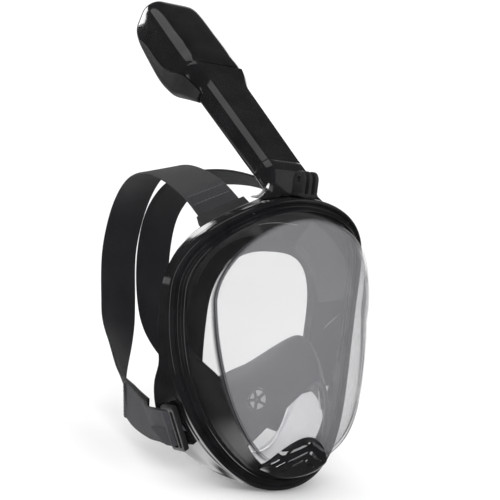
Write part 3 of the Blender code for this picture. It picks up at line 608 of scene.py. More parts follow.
def make_bezel():
    """The ring: a round outer bead, a groove, a thin bead and a sloping inner band."""
    section = [(0, -8.0), (0, -1.9), (0.25, -0.8), (0.9, 0.45), (1.8, 1.15), (2.7, 1.3),
               (3.5, 0.95), (4.1, 0.2), (4.4, -0.6), (4.9, -1.0), (5.6, -0.9), (5.9, 0.1),
               (6.3, 0.75), (6.9, 1.0), (7.4, 0.8), (7.6, 0.35), (8.0, 0.35), (8.25, 1.2),
               (8.8, 2.7), (9.4, 3.9), (10.0, 4.35), (10.35, 4.1), (10.4, 2.5), (8.6, -2.1),
               (2.2, -2.2), (2.2, -8.0)]
    return ring_sweep("front_ring", section, GLOSS, ("front_bezel",), "gloss_black_abs", 50)


def frame_reach(t):
    from_chin = abs((math.degrees(t) - 270 + 180) % 360 - 180)
    jaw = bump_at(from_chin, 42, 24)
    crown = bump_at(from_chin, 180, 24)
    temple = bump_at(from_chin, 125, 18)
    scallop = bump_at(from_chin, 67, 5)
    return 6 + 27.5 * jaw + 6 * temple + 22.5 * crown - 6 * scallop, 9 * jaw


def frame_section(t):
    """The rear frame's wall with rounded edges. It flares out and runs deeper at the jaw."""
    depth, flare = frame_reach(t)
    end, bend = FLANGE_FRONT - depth, FLANGE_FRONT - 0.6 * depth
    outer = [(0.9, FLANGE_FRONT - 0.05), (0.45, FLANGE_FRONT - 0.5)]
    for k in range(1, 9):
        share = k / 9
        bow = 0.4 * flare * min(share / 0.6, 1) + 0.6 * flare * max((share - 0.6) / 0.4, 0)
        smooth_bow = flare * share ** 1.5
        outer.append((0.4 - 0.5 * (bow + smooth_bow), FLANGE_FRONT - share * depth))
    inner = [(3.2, FLANGE_BACK), (3.0 - 0.4 * flare, bend), (2.8 - flare, end + 0.4)]
    return ([(9.0, FLANGE_FRONT), (9.0, FLANGE_BACK)] + inner
            + [(2.4 - flare, end), (1.1 - flare, end), (0.7 - flare, end + 0.35)] + outer[::-1])


def make_rear_frame():
    return ring_sweep("back_frame", frame_section, GLOSS, ("rear_frame",), "gloss_black_abs", 40)


# ---------------------------------------------------------------- skirt and divider

def opening_point(t):
    c, s = math.cos(t), math.sin(t)
    low = max(-s, 0.0)
    square, rise = (0.75, 0.8) if s > 0 else (0.75 - 0.35 * low, 0.8 + 0.1 * low)
    x = OPENING_HALF_WIDTH * math.copysign(abs(c) ** square, c) * (1 - 0.06 * low ** 2)
    reach = OPENING_TOP - OPENING_WIDE_Z if s > 0 else OPENING_WIDE_Z - OPENING_BOTTOM
    z = OPENING_WIDE_Z + reach * math.copysign(abs(s) ** rise, s)
    y = -3 + 10 * (x / OPENING_HALF_WIDTH) ** 2 + 6 * low ** 2
    return Vector((x, y, z))


def web_edge(t):
    below = min(abs(math.degrees(t) - 180), abs(360 - math.degrees(t))) if math.sin(t) < 0 else 0
    rise = min(max((below - 12) / 26, 0), 1)
    rise = rise * rise * (3 - 2 * rise) * (1 - 0.95 * max(below - 25, 0) / 65)
    return 12.8 + 29 * rise, BEAD_FRONT - 1.0 + 5 * rise


def skirt_section(t):
    """The skirt's section: bead, web, wall, and the seal that turns in against the face."""
    rim = opening_point(t)
    (nx, nz) = outline(t)[1]
    out, back = Vector((nx, 0, nz)), Vector((0, 1, 0))
    low = max(-math.sin(t), 0.0)
    heel = rim + out * (SEAL_WIDTH - 8 * low ** 3) + back * (8 + 4 * low ** 3)
    web, ahead = web_edge(t)
    inner_foot = ring_point(t, 12.4, FLANGE_BACK - 0.4)
    inner_heel = heel - out * SKIRT_WALL - back * 2.6
    outer_foot = ring_point(t, 9.4, FLANGE_BACK - 0.8)
    points = [ring_point(t, 3.4, BEAD_FRONT), ring_point(t, 11.8, BEAD_FRONT),
              ring_point(t, web - 0.5, ahead), ring_point(t, web, ahead - 0.5),
              ring_point(t, web, ahead - 1.4), ring_point(t, web - 0.5, ahead - 1.8)]
    for k in range(5):
        share = k / 5
        sag = out * 1.0 * math.sin(math.pi * share)
        points.append(inner_foot.lerp(inner_heel, share) + sag)
    turn = inner_heel - back * 0.2
    lip = rim - back * 0.6
    points += [inner_heel.lerp(lip, 0.04) + back * 0.3, turn.lerp(lip, 0.3) + back * 0.5,
               turn.lerp(lip, 0.7) + back * 0.2, lip, rim + back * 0.05 - out * 0.7,
               rim - out * 0.7 + back * 0.7]
    seal = heel - out * 4 + back * 0.4
    points += [(rim + back * 0.6).lerp(seal, 0.45) + back * 0.7, seal + back * 0.1,
               heel - out * 1.4 + back * 0.25, heel - back * 0.3, heel - back * 1.6]
    for k in range(1, 6):
        share = k / 6
        sag = out * 1.2 * math.sin(math.pi * share)
        points.append((heel - back * 1.6).lerp(outer_foot, share) + sag)
    points += [outer_foot, ring_point(t, 9.4, BEAD_BACK), ring_point(t, 3.4, BEAD_BACK)]
    return points


def make_skirt():
    """The black skirt, whose chin cup between CUP_START and CUP_END is clear silicone."""
    steps = angles(240)
    sections = [skirt_section(t) for t in steps]
    points, faces = loft(sections, closed=True)
    count, first, last = len(sections[0]), CUP_FIRST, len(sections[0]) - 3
    in_cup = [CUP_START <= t < CUP_END - 1e-6 for t in steps]
    kept = [face for k, face in enumerate(faces)
            if not (in_cup[k // count] and first <= k % count < last)]
    make("silicone_skirt", points, kept, SILICONE, "mask", ("face_skirt",), "black_silicone", 55)
    sections = [ring for ring, t in zip(sections, steps) if CUP_START <= t <= CUP_END + 1e-6]
    cup = make("chin_cup", *loft([ring[CUP_FIRST:-2] for ring in sections]), CUP, "mask",
               ("face_skirt",), "clear_silicone", 55)
    # The light that a clear cup gathers from round it, as one lamp that lights the cup alone.
    glow = bpy.data.lights.new("cup_glow", "POINT")
    glow.energy, glow.shadow_soft_size = 0.16, 0.012
    lamp = bpy.data.objects.new("cup_glow", glow)
    bpy.context.scene.collection.objects.link(lamp)
    lamp.location = (-0.012, -0.05, -0.07)
    lamp.visible_glossy = False
    only_cup = bpy.data.collections.new("lit_by_cup_glow")
    only_cup.objects.link(cup)
    lamp.light_linking.receiver_collection = only_cup


def make_mould_lines():
    """Three fine raised lines inside the skirt: one at each temple and one over the brow."""
    made = []
    for word, t in (("right", math.radians(184.5)), ("left", math.radians(-4.5))):
        section = skirt_section(t)
        inward = Vector((outline(t)[1][0], 0, 0)) * 0.15
        rows = range(6, 11) if t > 0 else range(7, 10)
        made.append((word, [section[k] - inward for k in rows]))
    brow = []
    for k in range(13):
        t = math.radians(82 + 26 * k / 12)
        section = skirt_section(t)
        nx, nz = outline(t)[1]
        brow.append((section[8] + section[9]) / 2 - Vector((nx, 0, nz)) * 0.15)
    made.append(("brow", brow))
    for word, path in made:
        make(f"skirt_line_{word}", *tube_along(path, 0.32, 6), PALE, "mask")


def divider_point(across, ahead):
    ridge = [(0, -7, -22), (0, -31, -3), (0, -55, 9), (0, -73, 1), (0, -88, -20)]
    side = [(44, 2, -43), (43, -28, -44), (43, -44, -56), (41.5, -50, -70), (38.5, -53, -84)]
    top, foot = curve_point(ridge, ahead), curve_point(side, ahead)
    wide = abs(across)
    x = across * foot.x
    z = top.z + (foot.z - top.z) * wide ** 1.5
    y = top.y + (foot.y - top.y) * wide ** 1.8
    return Vector((x, y, z))


def divider_surface(across, ahead, reach=None):
    """The divider, kept behind the lens. reach is a table of lens depths, filled as it is used."""
    p = divider_point(across, ahead)
    key = (round(p.x), round(p.z))
    if reach is not None and key not in reach:
        reach[key] = lens_depth(p.x, p.z, LENS_WALL)
    depth = reach[key] if reach is not None else lens_depth(p.x, p.z, LENS_WALL)
    return Vector((p.x, max(p.y, depth + 1.6), p.z))


def inhale_valve_frame(side):
    across, ahead = side * 0.79, 0.66
    centre = divider_surface(across, ahead)
    one = divider_surface(across + 0.05, ahead) - divider_surface(across - 0.05, ahead)
    two = divider_surface(across, ahead + 0.05) - divider_surface(across, ahead - 0.05)
    normal = one.cross(two).normalized()
    return centre, normal if normal.z > 0 else -normal


def make_divider():
    wide, long = 88, 44
    reach = {}
    grid = [[divider_surface(-1 + 2 * j / wide, i / long, reach) for j in range(wide + 1)]
            for i in range(long + 1)]
    for _ in range(2):
        for row in grid:
            inner = [row[0]] + [(row[j - 1] + 2 * row[j] + row[j + 1]) / 4 for j in range(1, wide)]
            row[:] = inner + [row[wide]]
    points = [p for row in grid for p in row]
    faces = [(a, a + 1, a + wide + 2, a + wide + 1)
             for a in (i * (wide + 1) + j for i in range(long) for j in range(wide))]
    divider = make("nose_pocket", points, faces, SILICONE, "mask", ("nose_divider",),
                   "black_silicone", 60)
    shell = divider.modifiers.new("wall", "SOLIDIFY")
    shell.thickness = 1.6 * MM
    shell.offset = 0.0
    holes = []
    for side in (-1, 1):
        centre, normal = inhale_valve_frame(side)
        holes.append(rod("valve_hole", centre, normal, INHALE_RADIUS + 0.3, -6, 6, 48))
    combine(divider, holes, smooth=60)
    for name, row in (("front", grid[-1]), ("rear", grid[0])):
        make(f"nose_pocket_{name}_bead", *tube_along(row[::2], 1.25, 10), SILICONE, "mask")


def make_inhale_valves():
    """Spoked seats: a ring, a hub and five spokes, with five openings that show the light."""
    for side, word in ((-1, "right"), (1, "left")):
        centre, normal = inhale_valve_frame(side)
        one = normal.cross(Vector((0, 0, 1))).normalized()
        two = normal.cross(one)
        outlines = [circle(INHALE_RADIUS, sides=64)]
        for k in range(5):
            start = 2 * math.pi * k / 5 + 0.3
            hole = []
            for radius, angle_gap, sweep in ((INHALE_RADIUS - 1.5, 0.13, 1), (2.9, 0.38, -1)):
                low, high = start + angle_gap, start + 2 * math.pi / 5 - angle_gap
                steps = 10 if sweep == 1 else 4
                turn = [low + (high - low) * i / steps for i in range(steps + 1)][::sweep]
                hole += [(radius * math.cos(a), radius * math.sin(a)) for a in turn]
            outlines.append(hole)
        outlines.append(circle(0.9, sides=20))
        seat = plate(f"inhale_seat_{word}", outlines, 0.9, (normal, one, two), centre, rim=0.25)
        dress(seat, SILICONE, "mask", (f"inhale_valve_seat_{word}",), 40)


# ---------------------------------------------------------------- chin valve cover

def chin_valve_frame():
    y = lens_depth(0, CHIN_VALVE_Z)
    slope = (lens_depth(0, CHIN_VALVE_Z + 6) - lens_depth(0, CHIN_VALVE_Z - 6)) / 12
    return Vector((0, y, CHIN_VALVE_Z)), Vector((0, -1, slope)).normalized()


def cover_point(across, up):
    x = COVER_HALF_WIDTH * across
    top, bottom = -68 - 27 * across ** 2, -107 + 10 * across ** 2
    z = bottom + (top - bottom) * up
    edge = max((1 - across ** 4) * (1 - (2 * up - 1) ** 4), 0.0)
    return Vector((x, lens_depth(x, z) - 1.9 - COVER_BULGE * math.sqrt(edge), z))


def make_chin_cover():
    """A bulged half-moon grille. Its slots run in chevrons that get shorter downwards."""
    wide, tall = 72, 48
    grid = []
    for i in range(tall + 1):
        up = 0.5 - 0.5 * math.cos(math.pi * i / tall)
        grid.append([cover_point(0.97 * math.sin(math.pi / 2 * (-1 + 2 * j / wide)), up)
                     for j in range(wide + 1)])
    points = [p for row in grid for p in row]
    faces = [(a, a + 1, a + wide + 2, a + wide + 1)
             for a in (i * (wide + 1) + j for i in range(tall) for j in range(wide))]
    cover = make("chin_grille", points, faces, GLOSS, "mask", ("chin_valve_cover",),
                 "gloss_black_abs", 50)
    shell = cover.modifiers.new("wall", "SOLIDIFY")
    shell.thickness = 1.4 * MM
    shell.offset = 0.0
    # Each slot's two ends, as x and z, and its radius.
    slots = [(1.9, -71.4, 21.5, -81.3, 1.25), (1.9, -79.4, 14.8, -87.2, 1.25),
             (1.9, -87.0, 8.6, -92.2, 1.2), (23.5, -86.5, 27.0, -90.5, 0.9),
             (18.0, -88.0, 23.0, -93.0, 0.95), (12.5, -93.0, 17.5, -97.0, 0.9)]
    cutters = []
    for ax, az, bx, bz, radius in slots:
        for mirror in (-1, 1):
            drawn = capsule(mirror * ax, az, mirror * bx, bz, radius)
            rings = [[(x, y, z) for x, z in drawn] for y in (-105, -45)]
            cutters.append(make("slot", *loft(rings), None))
    return combine(cover, cutters, smooth=50)


def make_chin_seat():
    centre, normal = chin_valve_frame()
    one = Vector((1, 0, 0))
    two = normal.cross(one)
    outlines = [circle(CHIN_HOLE_RADIUS - 0.4, sides=64)]
    for k in range(6):
        middle = 2 * math.pi * (k + 0.5) / 6
        hole = [(r * math.cos(middle + a), r * math.sin(middle + a))
                for r, half, sweep in ((CHIN_HOLE_RADIUS - 2.4, 0.42, 1), (3.4, 0.22, -1))
                for a in [half * (-1 + 2 * i / 8) for i in range(9)][::sweep]]
        outlines.append(hole)
    seat = plate("chin_seat", outlines, 1.0, (normal, one, two), centre + normal * 0.2, rim=0.2)
    dress(seat, SATIN, "mask", ("chin_valve_seat",), 40)


# ---------------------------------------------------------------- snorkel

def in_snorkel(ring):
    return [SNORKEL @ Vector(p) for p in ring]


def snorkel_loft(name, rings, look, stands_for=(), slot=None, smooth=32, closed=False):
    return make(name, *loft([in_snorkel(ring) for ring in rings], closed), look, "snorkel",
                stands_for, slot, smooth)


def tube_section(half_x, half_y, z, wing=None, face=None, chamfer=4.0, rear=5.0):
    """Half of the tube's section is listed from the middle of the rear round to the front, and
    then mirrored. wing and face are the front's half-width and its y where the neck flares."""
    wing, face = wing or half_x, -half_y if face is None else face
    side = [(half_x - rear + rear * math.sin(a), half_y - rear + rear * math.cos(a))
            for a in (math.pi / 2 * i / 6 for i in range(7))]
    step = wing - half_x
    side += [(half_x, 3.2), (half_x + 0.1 * step, 2.1), (half_x + 0.35 * step, 1.5),
             (half_x + 0.85 * step, 1.2), (wing, 0.4), (wing, face + chamfer),
             (wing - chamfer, face), (wing / 2, face)]
    ring = [(0, half_y, z)] + [(x, y, z) for x, y in side] + [(0, face, z)]
    return ring + [(-x, y, z) for x, y in reversed(side)]


def make_tube():
    spigot = lambda z, shrink=0.0: tube_section(18 - shrink, 8.5 - shrink, z, chamfer=1.6, rear=2.0)
    rings = [spigot(-13, 0.6), spigot(-12.4), spigot(-8.6), spigot(-8.6, 1.2), spigot(-5.4, 1.2),
             spigot(-5.4), spigot(0.4)]
    rings += [tube_section(20.5, 11, 0.4), tube_section(20.7, 11.15, 0.9)]
    stations = [4 + 110 * k / 12 for k in range(13)] + [115 + 33.5 * k / 24 for k in range(25)]
    for z in stations:
        share = min(z / 118, 1)
        flare = ease((z - 115) / 36)
        half_x, half_y = 20.5 + 2.5 * share, 11 + share
        rings.append(tube_section(half_x, half_y, z, half_x + 7.3 * flare, -half_y - 3.0 * flare,
                                  4.0 + 0.6 * flare))
    rings += [tube_section(23, 12, 148.6), tube_section(23, 12, 213)]
    tube = snorkel_loft("tube", rings, GLOSS, ("snorkel_tube",), "gloss_black_abs", 24)
    channels = []
    for x0, x1 in ((-7.4, 7.4), (9.2, 15.2), (-15.2, -9.2)):
        ring = [(x + (x0 + x1) / 2, y) for x, y in rounded_rectangle((x1 - x0) / 2, 5.6, 1.2, 4)]
        rings = [in_snorkel([(x, y, z) for x, y in ring]) for z in (-30, 230)]
        channels.append(make("channel", *loft(rings), None))
    combine(tube, channels, smooth=24)
    bevelled(tube, 0.3, 2, 28, 30)
    gasket = [[(x, y, z) for x, y in rounded_rectangle(18 + grow, 8.5 + grow, 2.0, 6)]
              for z, grow in ((-8.2, -0.9), (-8.2, -0.1), (-7.6, 0.15), (-7.0, -0.05), (-6.4, 0.15),
                              (-5.8, -0.1), (-5.8, -0.9))]
    snorkel_loft("spigot_gasket", gasket, SILICONE, ("tube_gasket",), "black_silicone", 50,
                 closed=True)


HEAD_STATIONS = ((122, 12.6, 13, 24.4, 4), (138, 13.8, 20.5, 27, 6), (154, 16, 28, 31, 8),
                 (168, 17, 31.5, 32, 10), (186, 17.5, 33, 32.5, 10), (213, 17.5, 31.5, 32.5, 10),
                 (240, 17.5, 29, 32.5, 10), (254, 17, 27, 31.6, 10), (262, 15.4, 24.6, 29.8, 10),
                 (267.5, 12.6, 21.6, 26.8, 10), (271, 8.8, 17.6, 22.6, 9), (272, 5, 13.6, 18.5, 8))


def head_rings(shrink, count=56):
    """The head's form as rounded rectangles, with a smooth curve through the stations."""
    rings = []
    for k in range(count + 1):
        place = 1 - (1 - k / count) ** 1.25
        spans = len(HEAD_STATIONS) - 1
        low = min(int(place * spans), spans - 1)
        share = place * spans - low
        picks = [HEAD_STATIONS[min(max(low + j, 0), spans)] for j in (-1, 0, 1, 2)]
        a, b, c, d = (Vector(p[:4]) for p in picks)
        z, front, rear, half_x = 0.5 * (2 * b + (c - a) * share
                                        + (2 * a - 5 * b + 4 * c - d) * share ** 2
                                        + (3 * b - a - 3 * c + d) * share ** 3)
        radius = picks[1][4] + (picks[2][4] - picks[1][4]) * share
        z = z + shrink if z < 130 else z - shrink * ease((z - 240) / 20)
        half_y = (front + rear) / 2 - shrink
        ring = rounded_rectangle(half_x - shrink, half_y, max(radius - shrink, 1), 9, 5,
                                 min(1.6 * radius, 0.9 * half_y))
        rings.append(in_snorkel([(x, y + (rear - front) / 2, z) for x, y in ring]))
    return rings


def split_block(gap, low_side):
    """The cap's share of the head: the front above the collar, and the top."""
    line = [(2, 149, 0), (5.4, 158, 0), (11, 170, 0), (15.2, 184, 0), (16.8, 205, 0),
            (17.2, 228, 0), (21, 243, 0), (33, 251, 0), (45, 254, 0)]
    side = []
    for k in range(41):
        p = curve_point(line, k / 40)
        q = curve_point(line, min(k / 40 + 0.01, 1))
        o = curve_point(line, max(k / 40 - 0.01, 0))
        ahead = (q - o).normalized()
        side.append((p.x - ahead.y * gap, p.y + ahead.x * gap))
    side += [(45, 300), (-40, 300)]
    side += [(-40, 90), (2 - gap, 90)] if low_side else [(-40, 149 + gap)]
    rings = [in_snorkel([(x, y, z) for y, z in side]) for x in (-50, 50)]
    return make("split", *loft(rings), None)


def make_head():
    def solid(name, shrink):
        return make(name, *loft(head_rings(shrink)), None)

    def bore():
        ends = [in_snorkel(tube_section(23.35, 12.35, z, chamfer=3.6)) for z in (100, 215)]
        return make("bore", *loft(ends), None)

    cap = combine(solid("head_front_cap", 0), [solid("hollow", 2.2), bore()], smooth=40)
    combine(cap, [split_block(SPLIT_GAP / 2, False)], "INTERSECT", 40)
    dress(cap, GLOSS, "snorkel", ("head_cap",), 36)
    shell = combine(solid("head_rear_shell", 0), [solid("hollow", 2.2), bore()], smooth=40)
    slots = []
    for k in range(5):
        ring = [(-18 + 9 * k + x, 23 + y) for x, y in rounded_rectangle(2.0, 7.0, 1.9, 5)]
        slots.append(make("intake_slot", *loft([in_snorkel([(x, y, z) for x, y in ring])
                                                for z in (126, 158)]), None))
    combine(shell, [split_block(-SPLIT_GAP / 2, True)] + slots, smooth=40)
    dress(shell, SATIN, "snorkel", ("head_shell",), 36)


def make_socket():
    """The flared socket on the frame's top. Its sections run from the tube's to a wide foot."""
    def lofted(half_x, half_y, chamfer, rear, foot_x, foot_y):
        mouth, throat = (in_snorkel(tube_section(half_x, half_y, z, chamfer=chamfer, rear=rear))
                         for z in (0, -14))
        foot = []
        for x, y, _ in tube_section(foot_x, foot_y, 0, chamfer=3.0, rear=5.0):
            above = math.sqrt(1 - (x / (HALF_WIDTH + 1)) ** 2)
            foot.append(Vector((x, y - 17.5, WIDE_Z + (ABOVE + 0.3) * above)))
        rings = [mouth, [a.lerp(b, 0.5) for a, b in zip(mouth, throat)], throat]
        for k in range(1, 19):
            way = k / 18
            rings.append([Vector((a.x + (b.x - a.x) * way ** 2.4, a.y + (b.y - a.y) * way ** 1.15,
                                  a.z + (b.z - a.z) * way ** 0.9)) for a, b in zip(throat, foot)])
        return rings

    outer = lofted(20.5, 11, 4.0, 5.0, 34, 11.5)
    inner = lofted(18.45, 8.95, 1.9, 2.4, 31.4, 8.9)
    socket = make("tube_socket", *loft(outer + inner[::-1], closed=True), GLOSS, "mask",
                  ("snorkel_socket",), "gloss_black_abs", 26)

    def block(half_x, half_z, y0, y1, middle):
        ring = rounded_rectangle(half_x, half_z, 1.6, 5)
        ends = [in_snorkel([(x, y, z + middle) for x, z in ring]) for y in (y0, y1)]
        return make("block", *loft(ends), None)

    combine(socket, [block(8.6, 6.8, 9.8, 15.4, -7.6)], "UNION", 26)
    combine(socket, [block(6.9, 5.65, 11.05, 18, -7.75)], smooth=26)
    bevelled(socket, 0.35, 2, 34, 30)
    button = block(6.4, 5.15, 14.0, 16.6, -7.75)
    button.name = "push_button"
    bar = rounded_rectangle(4.6, 0.55, 0.5, 4)
    ribs = [make("rib", *loft([in_snorkel([(x, y, z - 7.75 + 2.4 * k) for x, z in bar])
                               for y in (16.0, 17.2)]), None) for k in (-1, 0, 1)]
    combine(button, ribs, "UNION", 30)
    bevelled(button, 0.3, 2, 34, 30)
    dress(button, SATIN, "button", ("release_button",), 30)


# ---------------------------------------------------------------- camera mount

def make_camera_mount():
    """Three fingers on a foot, with a pin hole, and an outer boss with a hexagonal recess."""
    rise = MOUNT_PIN_Z - MOUNT_FOOT_Z
    side = [(FINGER_RADIUS * math.cos(a), FINGER_RADIUS * math.sin(a))
            for a in (math.pi * i / 24 for i in range(25))]
    side += [(-FINGER_RADIUS, -rise + 3.4), (-FINGER_RADIUS, -rise + 1.4),
             (FINGER_RADIUS, -rise + 1.4)]
    axes = ((1, 0, 0), (0, 1, 0), (0, 0, 1))
    fingers = []
    for number in (-1, 0, 1):
        centre = (number * FINGER_PITCH, MOUNT_Y, MOUNT_PIN_Z)
        fingers.append(plate(f"finger_{number}", [side, circle(PIN_RADIUS, sides=32)], FINGER / 2,
                             axes, centre, rim=0.35))
    foot = rounded_rectangle(9.5, 7.4, 2.4, 6)
    base = plate("camera_fingers", [foot], 1.3, ((0, 0, 1), (1, 0, 0), (0, 1, 0)),
                 (0, MOUNT_Y, MOUNT_FOOT_Z + 1.3), rim=0.4)
    hexagon = [(PIN_RADIUS * 1.25 * math.cos(a), PIN_RADIUS * 1.25 * math.sin(a))
               for a in (math.pi * i / 3 for i in range(6))]
    boss = plate("boss", [circle(4.8, sides=40), hexagon], 1.1, axes,
                 (FINGER_PITCH + FINGER / 2 + 0.85, MOUNT_Y, MOUNT_PIN_Z), rim=0.3)
    combine(base, fingers + [boss], "UNION", 30)
    dress(base, SATIN, "mask", ("camera_mount",), 36)


# ---------------------------------------------------------------- harness

STRAP_ROUTE = [(-50, 4, 100), (-47, 53, 119), (-38, 124, 128), (-25, 188, 117), (-19.7, 224, 86),
               (-19.7, 235, 40), (-20.5, 223, -10), (-27, 200, -44), (-43, 156, -72),
               (-52, 110, -80), (-60, 70, -82)]
STRAP_NORMALS = [(-0.5, 0, 0.86), (-0.45, -0.1, 0.88), (-0.3, 0.1, 0.95), (-0.12, 0.5, 0.86),
                 (0, 0.9, 0.43), (0, 1, 0), (0, 0.97, -0.25), (-0.15, 0.9, -0.3),
                 (-0.65, 0.6, -0.35), (-0.95, 0.2, -0.15), (-0.97, 0.15, -0.1)]


def strap_width(place):
    narrow = min(max((place - 0.62) / 0.22, 0), 1)
    return BAND_WIDTH - 18 * narrow * narrow * (3 - 2 * narrow)


def band_section(half_width, half_thick, edge):
    """Half-thickness profile of webbing: a flat middle and a bound edge set off by a shallow
    groove, rounded off at the selvedge.
    """
    places = [-1, -0.985, -0.94, -0.9, -0.86, -0.6, -0.3, 0, 0.3, 0.6, 0.86, 0.9, 0.94, 0.985, 1]
    heights = []
    for p in places:
        a = abs(p)
        heights.append(0.25 if a == 1 else 0.8 if a > 0.98 else edge if 0.87 < a <= 0.91 else 1.0)
    top = [(p * half_width, h * half_thick) for p, h in zip(places, heights)]
    return top + [(a, -h) for a, h in reversed(top)]


def ribbon(name, route, normals, width_at, thickness, look, steps, mirror, stands_for=(), edge=0.86,
           slot="black_elastic"):
    rings, uvs, run, before = [], [], 0.0, None
    for i in range(steps + 1):
        place = i / steps
        middle = curve_point(route, place)
        run += (middle - before).length if before else 0.0
        before = middle
        ahead = (curve_point(route, min(place + 0.004, 1))
                 - curve_point(route, max(place - 0.004, 0)))
        ahead.normalize()
        out = curve_point(normals, place)
        out = (out - ahead * out.dot(ahead)).normalized()
        across = ahead.cross(out)
        ring = []
        for a, h in band_section(width_at(place) / 2, thickness / 2, edge):
            p = middle + across * a + out * h
            ring.append(Vector((p.x * mirror, p.y, p.z)))
            uvs.append((run * MM, a * MM))
        rings.append(ring)
    points, faces = loft(rings)
    return make(name, points, faces, look, "mask", stands_for, slot, 50, uvs=uvs)


def jaw_wall(share, angle=LOOP_ANGLE):
    t = math.radians(angle)
    depth, flare = frame_reach(t)
    bend = 0.4 * flare * min(share / 0.6, 1) + 0.6 * flare * max((share - 0.6) / 0.4, 0)
    return ring_point(t, 0.4 - bend, FLANGE_FRONT - share * depth)


def jaw_anchor():
    front, back = jaw_wall(0.25), jaw_wall(0.72)
    rear = (back - front).normalized()
    up = jaw_wall(0.5, LOOP_ANGLE - 6) - jaw_wall(0.5, LOOP_ANGLE + 6)
    up = (up - rear * up.dot(rear)).normalized()
    out = up.cross(rear)
    out = out if out.x < 0 else -out
    return (front + back) / 2 + out * 3.3, out, rear, up


def stitches(name, path, out, mirror, pitch=3.0):
    """A row of thread stitches along a path, each a short bead that sits proud of the cloth."""
    points, faces = [], []
    length = sum((b - a).length for a, b in zip(path, path[1:]))
    count = max(int(length / pitch), 1)
    for k in range(count):
        a, b = curve_point(path, (k + 0.15) / count), curve_point(path, (k + 0.8) / count)
        rise = [0.0, 0.28, 0.0]
        line = [a.lerp(b, s) + out * h for s, h in zip((0, 0.5, 1), rise)]
        line = [Vector((p.x * mirror, p.y, p.z)) for p in line]
        more_points, more_faces = tube_along(line, 0.3, 6)
        faces += [tuple(n + len(points) for n in face) for face in more_faces]
        points += more_points
    return make(name, points, faces, THREAD, "mask")


def make_harness():
    centre, out, rear, up = jaw_anchor()
    lip = jaw_wall(1.0) + out * 2.6
    tab_route = [(-60, 112, -82), (-68, 78, -84), (-75, 44, -84), lip + rear * 4,
                 centre + rear * 9.5]
    tab_normals = [(-0.97, 0.2, -0.15), (-0.97, 0.17, -0.12), (-0.95, 0.16, -0.25), out, out]
    for mirror, word in ((1, "right"), (-1, "left")):
        ribbon(f"strap_{word}", STRAP_ROUTE, STRAP_NORMALS, strap_width, 2.0, BAND, 220, mirror,
               (f"head_strap_{word}",))
        lift = lambda route, height: [Vector(p) + Vector(n).normalized() * height
                                      for p, n in zip(route, tab_normals)]
        # The outer layer folds over the loop's rear bar, passes its slot and returns inside.
        over = lift(tab_route, 0.85)[:-1] + [centre + rear * 7.0 + out * 3.1,
                                             centre + rear * 4.6 + out * 2.9]
        over_normals = tab_normals[:-1] + [out, out * 0.9 - rear * 0.45]
        ribbon(f"tab_outer_{word}", over, over_normals, lambda place: TAB_WIDTH, 1.35, FLAP, 90,
               mirror, (f"strap_tab_{word}",))
        under = lift(tab_route, -0.85)[1:-1] + [centre + rear * 9.2 - out * 0.6]
        ribbon(f"tab_inner_{word}", under, tab_normals[1:], lambda place: TAB_WIDTH - 1.0, 1.3,
               BAND, 70, mirror)
        wrap = [centre + rear * 4.6 + out * 2.9, centre + rear * 2.9 + out * 1.6,
                centre + rear * 2.2, centre + rear * 2.9 - out * 1.2]
        wrap_normals = [out * 0.9 - rear * 0.45, out * 0.4 - rear, -rear, -rear - out * 0.6]
        ribbon(f"tab_wrap_{word}", wrap, wrap_normals, lambda place: TAB_WIDTH, 1.3, FLAP, 20,
               mirror)
        # The flap's hem: a folded edge at its free end with two rows of stitching.
        hem = [curve_point(over, s) + curve_point(over_normals, s) * 0.95
               for s in (0.002, 0.03, 0.058)]
        ribbon(f"tab_hem_{word}", hem, over_normals[:3], lambda place: TAB_WIDTH + 0.6, 1.3, FLAP,
               12, mirror)
        for row, place in enumerate((0.016, 0.05)):
            middle = curve_point(over, place)
            normal = Vector(over_normals[0]).normalized()
            ahead = (curve_point(over, place + 0.01) - middle).normalized()
            across = ahead.cross(normal)
            line = [middle + normal * 1.75 + across * s for s in (-15.5, -5, 5, 15.5)]
            stitches(f"tab_stitch_{row}_{word}", line, normal, mirror)
        # Stitching where the strap is doubled at the upper clip.
        for row, place in enumerate((0.052, 0.075)):
            middle = curve_point(STRAP_ROUTE, place)
            normal = curve_point(STRAP_NORMALS, place).normalized()
            ahead = (curve_point(STRAP_ROUTE, place + 0.01) - middle).normalized()
            across = ahead.cross(normal)
            line = [middle + normal * 1.05 + across * s for s in (-17, -6, 6, 17)]
            stitches(f"strap_stitch_{row}_{word}", line, normal, mirror)
        outer = rounded_rectangle(8, 20.5, 2.6, 6)
        rear_slot = [(a + 1.9, b) for a, b in rounded_rectangle(2.5, 17.2, 1.2, 4)]
        front_slot = [(a - 4.1, b) for a, b in rounded_rectangle(1.1, 16.4, 1.0, 4)]
        loop = plate(f"jaw_loop_{word}", [outer, rear_slot, front_slot], 2.5, (out, rear, up),
                     centre, mirror, rim=0.5)
        dress(loop, SATIN, "mask", (f"lower_strap_loop_{word}",), 40)


def recoat_cad_nodes():
    """The CAD nodes that stay visible get the detailed materials."""
    coats = {"frame_screw_": STEEL, "button_spring": STEEL, "upper_strap_clip_": SATIN,
             "float_cage": WHITE, "dry_float": FOAM, "float_seal": SILICONE,
             "exhale_flap_": SILICONE, "inhale_valve_disc_": VALVE, "chin_valve_disc": VALVE}
    for name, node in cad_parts.items():
        for start, look in coats.items():
            if name.startswith(start):
                for place in node.material_slots:
                    place.material = look


# ---------------------------------------------------------------- stage, light and camera

VIEW_AZIMUTH, VIEW_RISE, VIEW_ROLL = -34.0, 4.15, 7.2
VIEW_DISTANCE, VIEW_TARGET, PIXELS_PER_METRE = 0.950, Vector((-0.0517, -0.045, 0.0751)), 1260.0


